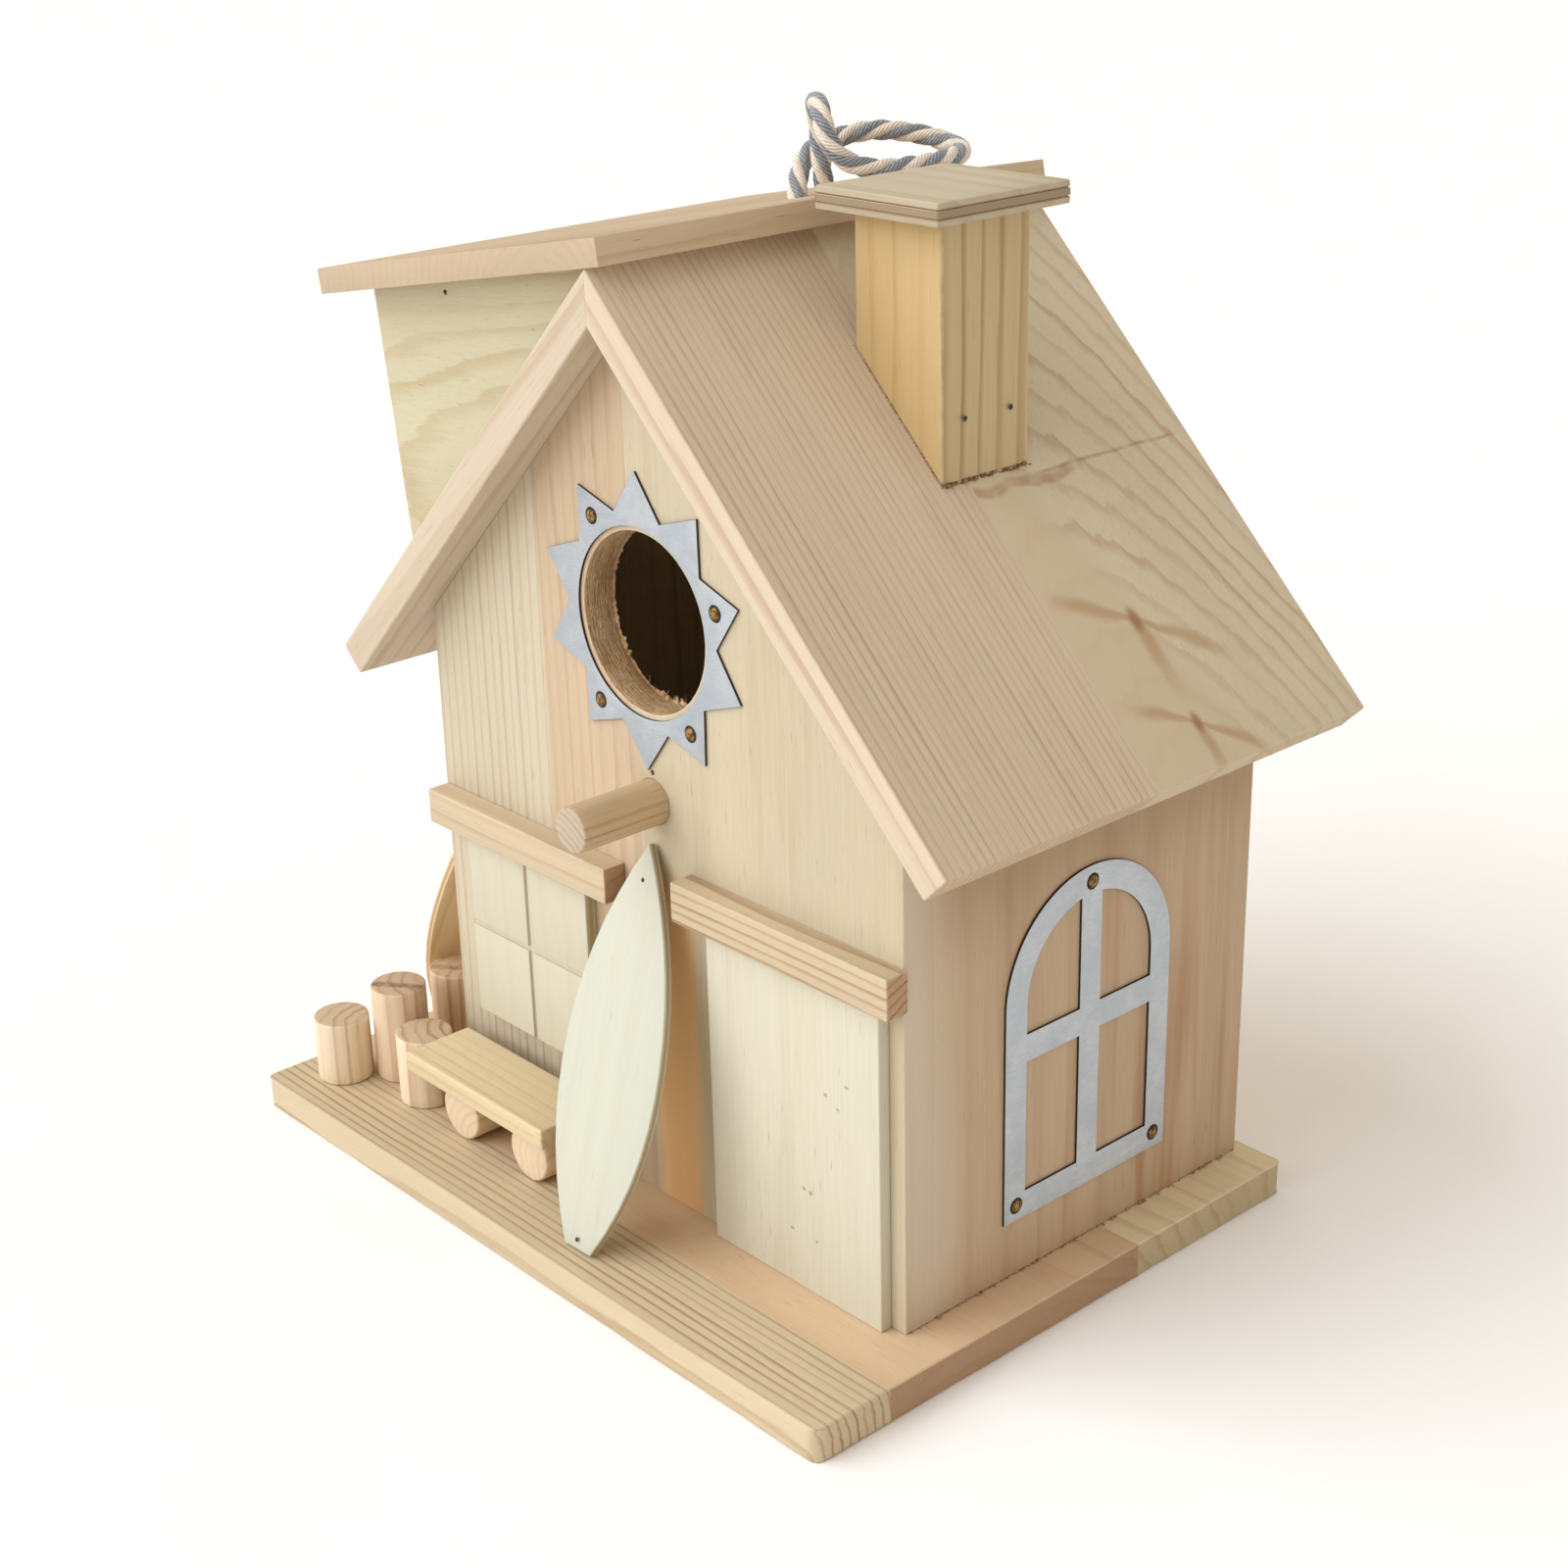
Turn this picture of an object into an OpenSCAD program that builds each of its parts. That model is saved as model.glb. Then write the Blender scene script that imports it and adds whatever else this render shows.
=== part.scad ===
// Beach-hut birdhouse: nailed and glued pine boards on a deck, with a side dormer,
// a chimney, a rope hanging loop and small props on the deck.
// Lengths are in millimetres. The house's own axes have X across the front, Y from the
// front wall's face to the back and Z up from the deck; in_house() carries them to the
// row frame, whose origin is the centre of the deck's underside.

/* [Boards] */
// Thickness of the deck, wall and roof boards
board_t = 8; // [6:0.5:10]
// Thickness of the thin dormer boards
dormer_t = 5.5; // [4:0.5:7]
// Thickness of the plywood plates on the front
plate_t = 3; // [2:0.5:4]
// Thickness of the surfboards
surf_t = 2; // [1.5:0.5:3]
// Thickness of the sheet-metal plates
metal_t = 0.6; // [0.5:0.1:1]

/* [Deck] */
// Width of the deck, left to right
deck_w = 198; // [194:1:220]
// Depth of the deck, front to back
deck_d = 144; // [140:1:160]
// Width of the striped strip along the front edge
front_strip_d = 20; // [16:1:24]
// Width of the board along the back edge
back_strip_d = 50; // [44:1:56]
// Deck left showing to the left of the house
deck_left = 37; // [34:1:44]
// Deck left showing in front of the house
deck_front = 35; // [34:1:42]

/* [House] */
// Width of the front wall
house_w = 150; // [146:1:154]
// Depth from the front wall's face to the back wall's face
house_d = 105; // [100:1:112]
// Height of the roof's ridge above the deck
ridge_h = 207; // [203:1:211]
// Slope of both roof panels, in degrees
roof_pitch = 45.2; // [44:0.2:46.4]
// Reach of the right roof panel from the ridge, level
reach_right = 96; // [92:1:100]
// Reach of the left roof panel from the ridge, level
reach_left = 98; // [94:1:102]
// Roof overhang in front of the front wall
roof_front = 10; // [8:1:12]
// Roof overhang behind the back wall
roof_back = 9; // [7:1:12]
// Width of the right panel's front board
right_front_board = 58.5; // [54:0.5:64]

/* [Dormer] */
// Slope of the dormer's roof board, in degrees
dormer_pitch = 10.4; // [9.6:0.2:11.2]
// Reach of the dormer's roof board left of the ridge, level
dormer_reach = 93.5; // [91:0.5:96]
// How far the dormer's roof board runs past the ridge
dormer_past = 4.8; // [3:0.1:6]
// Level distance from the ridge to the dormer wall's top corner
dormer_wall_reach = 88.5; // [86:0.5:90]
// Lean of the dormer's left side from upright, in degrees
dormer_lean = 7.4; // [6:0.2:9]

/* [Chimney] */
// Width of the chimney post, left to right
chimney_w = 24; // [20:1:28]
// Depth of the chimney post, front to back
chimney_d = 25; // [20:1:28]
// Distance of the chimney's centre right of the ridge
chimney_x = 32.4; // [30:0.2:36]
// Distance of the chimney's centre behind the front wall's face
chimney_y = 53.8; // [48:0.2:60]
// Height of the chimney post's top above the deck
chimney_h = 214; // [210:1:220]
// Width of the chimney's cap
cap_w = 34; // [30:1:38]
// Depth of the chimney's cap
cap_d = 37; // [33:1:41]
// Thickness of the chimney's cap
cap_t = 4.6; // [3:0.2:6]

/* [Entrance] */
// Diameter of the entrance hole
hole_dia = 38; // [28:1:40]
// Height of the entrance hole's centre above the deck
hole_h = 134; // [130:1:138]
// Diameter of the perch dowel
perch_dia = 10; // [6:0.5:12]
// Length of perch in front of the wall
perch_len = 22; // [16:1:30]
// Height of the perch's axis above the deck
perch_h = 95.3; // [92:0.1:98]
// Radius of the sun plate at the tips of its rays
sun_tip_r = 31.8; // [29:0.2:34]
// Radius of the sun plate between its rays
sun_valley_r = 23.4; // [22.4:0.2:26]
// Radius of the hole in the sun plate
sun_hole_r = 20.3; // [19.5:0.1:21.5]
// Number of rays on the sun plate
sun_rays = 10; // [8:1:12]

/* [Front trim] */
// How far the two trim rails stand out from the wall
rail_out = 5.8; // [4:0.2:8]
// Height of the window header
header_tall = 8.2; // [6:0.2:10]
// Height of the header's underside above the deck
header_h = 69.8; // [66:0.2:72]
// Height of the door rail
rail_tall = 9; // [7:0.2:11]
// Height of the door rail's underside above the deck
rail_h = 73.4; // [70:0.2:76]
// Width of the plain door plate
door_w = 51; // [44:1:53]
// Width of the four-pane window plate
panes_w = 43.5; // [38:0.5:46]
// Height of the four-pane window plate
panes_tall = 45.3; // [40:0.1:48]

/* [Side window] */
// Width of the arched window frame
arch_w = 50.4; // [44:0.2:56]
// Height of the arched window frame to the top of its arch
arch_tall = 74; // [68:1:80]
// Width of the frame's members
arch_bar = 6.2; // [5:0.2:8]

/* [Surfboards] */
// Length of a surfboard from its foot to its tip
surf_len = 90; // [80:1:92]
// Width of a surfboard at its widest
surf_w = 31; // [26:0.5:34]
// Height of the widest place above the foot
surf_wide_at = 39; // [34:1:44]

/* [Logs and bench] */
// Diameter of the logs and the bench's legs
log_dia = 13.4; // [12:0.1:15]
// Length of the bench's seat
seat_w = 52; // [44:1:54]
// Depth of the bench's seat
seat_d = 18; // [14:0.5:18.5]
// Thickness of the bench's seat
seat_t = 5; // [3:0.5:7]

/* [Clean-out] */
// Diameter of the clean-out hole in the back wall
cleanout_dia = 46; // [38:1:50]
// Height of the clean-out hole's centre above the deck
cleanout_h = 46; // [42:1:50]
// Width of the swinging cover
cover_w = 58; // [54:1:60]
// Height of the swinging cover
cover_tall = 74; // [68:1:76]
// Running clearance round the cover's pivot screw, on the radius
pivot_gap = 0.05; // [0.02:0.01:0.09]

/* [Rope] */
// Diameter of the twisted rope
rope_dia = 4; // [3:0.5:4]

/* [Hidden] */
$fn = 48;
eps = 0.01;

// Colours
pine = "#E9D3A8";
pine_pale = "#EFE2BF";
pine_tan = "#D9B98C";
pine_pink = "#DDB79A";
ply_ivory = "#F1ECD3";
zinc = "#B9C2CC";
brass_yellow = "#B8913F";
rope_grey = "#B9B4B0";
steel_grey = "#9A9A98";

// The house stands on the deck, nearer its right and back edges
house_x = deck_left + house_w / 2 - deck_w / 2;
house_y = deck_front - deck_d / 2;
deck_x0 = -house_x - deck_w / 2;
deck_x1 = deck_x0 + deck_w;
deck_y0 = -deck_front;
deck_y1 = deck_y0 + deck_d;
half_w = house_w / 2;
back_y = house_d;

// Roof lines, seen from the front
roof_rise = tan(roof_pitch);
roof_drop = board_t / cos(roof_pitch);
roof_y0 = -roof_front;
roof_y1 = back_y + roof_back;
function roof_top(x) = ridge_h - abs(x) * roof_rise;
function roof_under(x) = roof_top(x) - roof_drop;
seam_y = roof_y0 + right_front_board;

// Dormer lines, seen from the front
dormer_rise = tan(dormer_pitch);
dormer_drop = dormer_t / cos(dormer_pitch);
function dormer_under(x) = ridge_h + x * dormer_rise;
function dormer_top(x) = dormer_under(x) + dormer_drop;
lean_run = tan(dormer_lean);
// Where the leaning side meets the left roof panel, measured left of the ridge
dormer_foot = dormer_wall_reach * (1 + lean_run * dormer_rise) / (1 + lean_run * roof_rise);

// Places on the front
hole_x = 0.5;
perch_x = 1.4;
header_x0 = -74.4;
header_x1 = -9.6;
rail_x0 = 12.5;
rail_x1 = 76.3;
door_x0 = 20;
panes_x0 = -64;
groove_w = 1.2;
groove_deep = 0.7;

// Side window
arch_y = 53.2;
arch_z0 = 13.4;
arch_bar_h = 52.8;
nail_inset = 3.6;

// Nails
nail_r = 0.6;
head_r = 1.6;
head_t = 0.7;
nail_len = 7;
brad_r = 0.7;

// Surfboards: the half-width falls off as a power of the distance from the widest place
surf_power = 2.1;
surf_reach_up = surf_len - surf_wide_at;
surf_reach_down = 45.5;
surf_steps = 14;
// Each leans back until its tip touches the wall, and its foot stands on its back edge
front_surf_x = 4;
front_surf_lean = 17.4;
front_surf_turn = -1.5;
side_surf_y = 18;
side_surf_lean = 21.5;
side_surf_turn = -6;

// Logs: centre across, centre back, height
log_front_left_at = [-98.8, -20, 16.2];
log_tall_at = [-89.6, -9, 23.9];
log_side_at = [-91.5, 9.3, 21.5];
log_by_bench_at = [-75, -12.2, 17.7];

// Bench
seat_x0 = -68.1;
seat_y0 = -22;
leg_xs = [-53, -27];
leg_y0 = -18;
leg_len = 13.5;

// Clean-out
pivot_h = cleanout_h + 38;
pivot_r = 1.5;
cover_gap = 0.3;
cover_above = 8;
cover_corner = 5;

// Rope: both ends go down through the dormer's roof board to a knot under it
rope_r = rope_dia / 2;
rope_hole_r = rope_r + 0.1;
rope_holes = [[-18.5, 70], [-19.5, 63]];
knot_r = 4.4;
knot_tall = 7;
rope_sides = 10;
rope_rings_per_point = 3;
rope_route = [
    [-17.5, 70, 203.5], [-18.5, 70, 209], [-18.5, 69, 215.5], [-19.5, 69.5, 223],
    [-17.5, 66.5, 228], [-13, 63, 230], [-8, 59.5, 227.5], [-5.5, 58.5, 222.5],
    [-3, 61, 218], [1, 67, 216], [4, 75.5, 216.5], [5, 85, 217],
    [0, 94, 217], [-8, 96.5, 218], [-14.5, 92, 220], [-19.5, 85, 221],
    [-24, 79, 219.5], [-25, 69.5, 217.5], [-21, 64, 210.5], [-19.5, 63, 208],
    [-18, 62.5, 203.5]
];

module in_house() {
    translate([house_x, house_y, board_t]) children();
}

// Extrudes a front-view outline (X, Z) from y0 to y1
module front_view(y0, y1) {
    translate([0, y1, 0]) rotate([90, 0, 0]) linear_extrude(y1 - y0) children();
}

// A round bar along +Y from y0 to y1
module bar_y(x, z, y0, y1, r) {
    translate([x, y0, z]) rotate([-90, 0, 0]) cylinder(h = y1 - y0, r = r);
}

// A nail driven from a face along its direction, its head standing on the face
module nail(at, turn) {
    translate(at) rotate(turn) {
        translate([0, 0, -nail_len]) cylinder(h = nail_len + eps, r = nail_r, $fn = 24);
        cylinder(h = head_t, r1 = head_r, r2 = head_r * 0.75, $fn = 24);
    }
}

// A headless brad, its end level with the face it is driven into
module brad(at, turn, len) {
    translate(at) rotate(turn) translate([0, 0, -len])
        cylinder(h = len, r = brad_r, $fn = 20);
}

// ---- Deck ----

module deck_board(y0, y1) {
    in_house() translate([deck_x0, y0, -board_t]) cube([deck_w, y1 - y0, board_t]);
}

module deck_front_strip() {
    color(pine_tan) deck_board(deck_y0, deck_y0 + front_strip_d);
}

module deck_middle_board() {
    color(pine_pink) deck_board(deck_y0 + front_strip_d, deck_y1 - back_strip_d);
}

module deck_back_board() {
    color(pine) deck_board(deck_y1 - back_strip_d, deck_y1);
}

// ---- Walls ----

module gable() {
    polygon([
        [-half_w, 0], [half_w, 0], [half_w, roof_under(half_w)],
        [0, roof_under(0)], [-half_w, roof_under(half_w)]
    ]);
}

module front_wall() {
    color(pine_pale) in_house() difference() {
        front_view(0, board_t) gable();
        bar_y(hole_x, hole_h, -1, board_t + 1, hole_dia / 2);
        bar_y(perch_x, perch_h, -1, board_t + 1, perch_dia / 2);
    }
}

module back_wall() {
    color(pine) in_house() difference() {
        front_view(back_y - board_t, back_y) gable();
        bar_y(0, cleanout_h, back_y - board_t - 1, back_y + 1, cleanout_dia / 2);
        bar_y(0, pivot_h, back_y - board_t - 1, back_y + 1, pivot_r);
    }
}

module side_wall(side) {
    outer = half_w;
    inner = half_w - board_t;
    in_house() front_view(board_t, back_y - board_t) polygon([
        [side * inner, 0], [side * outer, 0],
        [side * outer, roof_under(outer)], [side * inner, roof_under(inner)]
    ]);
}

module left_wall() {
    color(pine_tan) side_wall(-1);
}

module right_wall() {
    color(pine_tan) side_wall(1);
}

// ---- Roof ----

// One roof board: mitred at the ridge, cut square across at the eave
module roof_board(side, reach, y0, y1) {
    eave_in = board_t * sin(roof_pitch);
    eave_down = board_t * cos(roof_pitch);
    in_house() front_view(y0, y1) polygon([
        [0, ridge_h],
        [side * reach, roof_top(reach)],
        [side * (reach - eave_in), roof_top(reach) - eave_down],
        [0, roof_under(0)]
    ]);
}

module roof_left_panel() {
    color(pine) roof_board(-1, reach_left, roof_y0, roof_y1);
}

module roof_right_front_board() {
    color(pine_pink) roof_board(1, reach_right, roof_y0, seam_y);
}

module roof_right_back_board() {
    color(pine_pale) roof_board(1, reach_right, seam_y, roof_y1);
}

// ---- Dormer ----

// Stands children on the dormer board's upper face at a level place
module on_dormer(at) {
    translate([at[0], at[1], dormer_top(at[0])]) rotate([0, -dormer_pitch, 0]) children();
}

module dormer_roof_board() {
    end_in = dormer_t * sin(dormer_pitch);
    color(pine_pink) in_house() difference() {
        front_view(roof_y0, roof_y1) polygon([
            [dormer_past, dormer_under(dormer_past)],
            [dormer_past - end_in, dormer_under(dormer_past) + dormer_t * cos(dormer_pitch)],
            [-dormer_reach - end_in, dormer_under(-dormer_reach) + dormer_t * cos(dormer_pitch)],
            [-dormer_reach, dormer_under(-dormer_reach)]
        ]);
        for (at = rope_holes)
            on_dormer(at) translate([0, 0, -2 * dormer_t])
                cylinder(h = 3 * dormer_t, r = rope_hole_r);
    }
}

// Thin triangle between the dormer board and the left roof panel
module dormer_gable(y0, y1) {
    in_house() front_view(y0, y1) polygon([
        [0, ridge_h],
        [-dormer_wall_reach, dormer_under(-dormer_wall_reach)],
        [-dormer_foot, roof_top(dormer_foot)]
    ]);
}

module dormer_front_wall() {
    color(pine_pale) dormer_gable(0, dormer_t);
}

module dormer_back_wall() {
    color(pine_pale) dormer_gable(back_y - dormer_t, back_y);
}

module dormer_side_wall() {
    side_in = dormer_t / cos(dormer_lean);
    top_in = dormer_wall_reach - side_in;
    foot_in = dormer_foot - side_in / (1 + lean_run);
    color(pine) in_house() front_view(dormer_t, back_y - dormer_t) polygon([
        [-dormer_wall_reach, dormer_under(-dormer_wall_reach)],
        [-dormer_foot, roof_top(dormer_foot)],
        [-foot_in, roof_top(foot_in)],
        [-top_in, dormer_under(-top_in)]
    ]);
}

// ---- Chimney ----

module chimney_post() {
    x0 = chimney_x - chimney_w / 2;
    x1 = chimney_x + chimney_w / 2;
    color(pine_tan) in_house()
        front_view(chimney_y - chimney_d / 2, chimney_y + chimney_d / 2) polygon([
            [x0, roof_top(x0)], [x1, roof_top(x1)], [x1, chimney_h], [x0, chimney_h]
        ]);
}

module chimney_cap() {
    color(pine_tan) in_house()
        translate([chimney_x - cap_w / 2, chimney_y - cap_d / 2, chimney_h])
            cube([cap_w, cap_d, cap_t]);
}

// Two brads toe-nailed through the post's right face into the roof
module chimney_nails() {
    face_x = chimney_x + chimney_w / 2;
    color(steel_grey) in_house()
        for (dy = [-6.5, 6.5])
            brad([face_x, chimney_y + dy, roof_top(face_x) + 13], [0, 30, 0], 16);
}

// ---- Entrance ----

module perch() {
    color(pine_tan) in_house()
        bar_y(perch_x, perch_h, -perch_len, board_t, perch_dia / 2);
}

module sun_plate() {
    step = 360 / sun_rays;
    star = [for (i = [0:2 * sun_rays - 1])
        let (r = i % 2 == 0 ? sun_tip_r : sun_valley_r, a = 90 + i * step / 2)
        [r * cos(a), r * sin(a)]];
    color(zinc) in_house() translate([hole_x, 0, hole_h]) difference() {
        front_view(-metal_t, 0) polygon(star);
        bar_y(0, 0, -metal_t - 1, 1, sun_hole_r);
        for (at = sun_nail_places())
            bar_y(at[0], at[1], -metal_t - 1, 1, nail_r + 0.1);
    }
}

// Four nails, each in the root of a ray
function sun_nail_places() =
    let (r = 24.6, step = 360 / sun_rays)
    [for (k = [1, 4, 6, 8]) [r * cos(90 + k * step), r * sin(90 + k * step)]];

module sun_plate_nails() {
    color(brass_yellow) in_house()
        for (at = sun_nail_places())
            nail([hole_x + at[0], -metal_t, hole_h + at[1]], [90, 0, 0]);
}

// ---- Front trim ----

module window_header() {
    color(pine_tan) in_house() translate([header_x0, -rail_out, header_h])
        cube([header_x1 - header_x0, rail_out, header_tall]);
}

module window_panes_plate() {
    z0 = header_h - panes_tall;
    color(pine_pale) in_house() difference() {
        translate([panes_x0, -plate_t, z0]) cube([panes_w, plate_t, panes_tall]);
        translate([panes_x0 + (panes_w - groove_w) / 2, -plate_t - 1, z0 - 1])
            cube([groove_w, 1 + groove_deep, panes_tall + 2]);
        translate([panes_x0 - 1, -plate_t - 1, z0 + (panes_tall - groove_w) / 2])
            cube([panes_w + 2, 1 + groove_deep, groove_w]);
    }
}

module door_rail() {
    color(pine_pink) in_house() translate([rail_x0, -rail_out, rail_h])
        cube([rail_x1 - rail_x0, rail_out, rail_tall]);
}

module door_plate() {
    color(ply_ivory) in_house() translate([door_x0, -plate_t, 0])
        cube([door_w, plate_t, rail_h]);
}

// ---- Side window ----

// Outline of an arched opening, w wide and tall to its crown, its foot on y = 0
module arch(w, tall) {
    translate([-w / 2, 0]) square([w, tall - w / 2]);
    translate([0, tall - w / 2]) circle(r = w / 2);
}

function arch_nail_places() = [
    [-arch_w / 2 + nail_inset, nail_inset],
    [arch_w / 2 - nail_inset, nail_inset],
    [0, arch_tall - nail_inset]
];

module arched_window_frame() {
    color(zinc) in_house() translate([half_w, arch_y, arch_z0])
        rotate([90, 0, 90]) linear_extrude(metal_t) difference() {
            arch(arch_w, arch_tall);
            difference() {
                translate([0, arch_bar]) arch(arch_w - 2 * arch_bar, arch_tall - 2 * arch_bar);
                translate([-arch_bar / 2, 0]) square([arch_bar, arch_tall]);
                translate([-arch_w / 2, arch_bar_h - arch_z0 - arch_bar / 2])
                    square([arch_w, arch_bar]);
            }
            for (at = arch_nail_places()) translate(at) circle(r = nail_r + 0.1);
        }
}

module arched_window_nails() {
    color(brass_yellow) in_house()
        for (at = arch_nail_places())
            nail([half_w + metal_t, arch_y + at[0], arch_z0 + at[1]], [0, 90, 0]);
}

// ---- Surfboards ----

function surf_half(z) =
    let (reach = z > surf_wide_at ? surf_reach_up : surf_reach_down)
    surf_w / 2 * (1 - pow(abs(z - surf_wide_at) / reach, surf_power));

// The board upright, its foot's middle at the origin and its face towards -Y
module surfboard() {
    right = [for (i = [0:surf_steps])
        let (z = surf_len * i / surf_steps) [surf_half(z), z]];
    left = [for (i = [surf_steps - 1:-1:0])
        let (z = surf_len * i / surf_steps) [-surf_half(z), z]];
    front_view(-surf_t, 0) polygon(concat(right, left));
}

// Leans back from the origin by lean, turned a little in its own plane, with its tip's
// back edge on the plane y = 0 and its foot's back edge at z = 0
module leaning(lean, turn) {
    reach = surf_len * cos(turn) * sin(lean) + surf_t * cos(lean);
    translate([0, -reach, surf_t * sin(lean) + foot_rise(turn) * cos(lean)])
        rotate([-lean, 0, 0]) rotate([0, turn, 0]) translate([0, surf_t, 0]) children();
}

// The turned foot's lower corner sinks by this much
function foot_rise(turn) = surf_half(0) * abs(sin(turn));

module lean_front() {
    translate([front_surf_x, 0, 0]) leaning(front_surf_lean, front_surf_turn) children();
}

// Against the left wall, its face turned away from the house
module lean_side() {
    translate([-half_w, side_surf_y, 0]) rotate([0, 0, -90])
        leaning(side_surf_lean, side_surf_turn) children();
}

module front_surfboard() {
    color(ply_ivory) in_house() lean_front() surfboard();
}

module side_surfboard() {
    color(pine_tan) in_house() lean_side() surfboard();
}

// Each board has a brad through its tip into the wall and one through its foot into the deck
module surf_brads() {
    brad([0, -surf_t, surf_len - 8], [90, 0, 0], 9);
    brad([0, -surf_t, 2.6], [35, 0, 0], 8);
}

module surfboard_nails() {
    color(steel_grey) in_house() {
        lean_front() surf_brads();
        lean_side() surf_brads();
    }
}

// ---- Logs and bench ----

module log(at) {
    in_house() translate([at[0], at[1], 0]) cylinder(h = at[2], r = log_dia / 2);
}

module log_front_left() {
    color(pine) log(log_front_left_at);
}

module log_tall() {
    color(pine_tan) log(log_tall_at);
}

module log_side() {
    color(pine_pink) log(log_side_at);
}

module log_by_bench() {
    color(pine_pink) log(log_by_bench_at);
}

// A leg is a short log lying front to back, with the seat on its crown
module bench_leg(x) {
    in_house() bar_y(x, log_dia / 2, leg_y0, leg_y0 + leg_len, log_dia / 2);
}

module bench_leg_left() {
    color(pine) bench_leg(leg_xs[0]);
}

module bench_leg_right() {
    color(pine) bench_leg(leg_xs[1]);
}

module bench_seat() {
    color(pine_pale) in_house() translate([seat_x0, seat_y0, log_dia])
        cube([seat_w, seat_d, seat_t]);
}

// ---- Brads that show on the walls ----

module wall_brads() {
    color(steel_grey) in_house() {
        brad([perch_x, 0, perch_h + perch_dia / 2 + 1.5], [90, 0, 0], 7);
        brad([-61, 0, 193], [90, 0, 0], 5);
    }
}

// ---- Clean-out ----

module cleanout_cover() {
    low = pivot_h + cover_above - cover_tall;
    y0 = back_y + cover_gap;
    color(pine) in_house() difference() {
        translate([-cover_w / 2, y0, low]) front_view(0, plate_t) {
            translate([0, cover_corner]) square([cover_w, cover_tall - 2 * cover_corner]);
            translate([cover_corner, 0]) square([cover_w - 2 * cover_corner, cover_tall]);
            for (x = [cover_corner, cover_w - cover_corner])
                for (z = [cover_corner, cover_tall - cover_corner])
                    translate([x, z]) circle(r = cover_corner);
        }
        bar_y(0, pivot_h, y0 - 1, y0 + plate_t + 1, pivot_r + pivot_gap);
    }
}

// Round-headed screw that the cover turns on
module cleanout_pivot_screw() {
    head_y = back_y + cover_gap + plate_t + cover_gap;
    screw_head_r = 3;
    screw_head_t = 1.8;
    color(steel_grey) in_house() difference() {
        union() {
            bar_y(0, pivot_h, back_y - board_t, head_y + eps, pivot_r);
            bar_y(0, pivot_h, head_y, head_y + screw_head_t, screw_head_r);
        }
        translate([-2.2, head_y + screw_head_t - 0.8, pivot_h - 0.4]) cube([4.4, 2, 0.8]);
        translate([-0.4, head_y + screw_head_t - 0.8, pivot_h - 2.2]) cube([0.8, 2, 4.4]);
    }
}

// ---- Rope ----

// A tube along points: each ring lies across the line through its two neighbours
module tube(points, r, sides) {
    n = len(points);
    ahead = [for (i = [0:n - 1])
        let (v = points[min(i + 1, n - 1)] - points[max(i - 1, 0)]) v / norm(v)];
    across = [for (i = [0:n - 1])
        let (v = cross(ahead[i], [1, 0.3, 0])) v / norm(v)];
    rings = [for (i = [0:n - 1])
        let (u = across[i], w = cross(ahead[i], u))
        for (k = [0:sides - 1])
            points[i] + r * (cos(360 * k / sides) * u + sin(360 * k / sides) * w)];
    faces = concat(
        [[for (k = [sides - 1:-1:0]) k]],
        [for (i = [0:n - 2]) for (k = [0:sides - 1])
            let (a = i * sides + k, b = i * sides + (k + 1) % sides)
            each [[a, b, b + sides], [a, b + sides, a + sides]]],
        [[for (k = [0:sides - 1]) (n - 1) * sides + k]]
    );
    polyhedron(points = rings, faces = faces);
}

// Points along a smooth curve that the route's points pull on, its ends on the route's ends
function smooth(route, per) =
    let (
        n = len(route),
        p = concat([2 * route[0] - route[1]], route, [2 * route[n - 1] - route[n - 2]])
    ) concat(
        [for (i = [0:n - 2]) for (k = [0:per - 1])
            let (t = k / per)
            (pow(1 - t, 3) * p[i] + (3 * pow(t, 3) - 6 * t * t + 4) * p[i + 1]
                + (-3 * pow(t, 3) + 3 * t * t + 3 * t + 1) * p[i + 2] + pow(t, 3) * p[i + 3]) / 6],
        [route[n - 1]]
    );

module hanging_rope() {
    color(rope_grey) in_house()
        tube(smooth(rope_route, rope_rings_per_point), rope_r, rope_sides);
}

// The two ends knotted together under the board, flat against it
module rope_knot() {
    color(rope_grey) in_house()
        for (at = rope_holes)
            on_dormer(at) translate([0, 0, -dormer_t - knot_tall]) rotate_extrude()
                polygon([
                    [0, 0], [knot_r * 0.6, 0], [knot_r, knot_tall * 0.35],
                    [knot_r, knot_tall * 0.65], [knot_r * 0.6, knot_tall], [0, knot_tall]
                ]);
}

deck_front_strip();
deck_middle_board();
deck_back_board();
front_wall();
back_wall();
left_wall();
right_wall();
roof_left_panel();
roof_right_front_board();
roof_right_back_board();
dormer_roof_board();
dormer_front_wall();
dormer_back_wall();
dormer_side_wall();
chimney_post();
chimney_cap();
chimney_nails();
perch();
sun_plate();
sun_plate_nails();
window_header();
window_panes_plate();
door_rail();
door_plate();
arched_window_frame();
arched_window_nails();
front_surfboard();
side_surfboard();
surfboard_nails();
log_front_left();
log_tall();
log_side();
log_by_bench();
bench_seat();
bench_leg_left();
bench_leg_right();
wall_brads();
cleanout_cover();
cleanout_pivot_screw();
hanging_rope();
rope_knot();
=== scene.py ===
# A beach-hut birdhouse of bare pine boards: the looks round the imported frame.
import math
import random

import bmesh
import bpy
from mathutils import Matrix, Vector, noise


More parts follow.
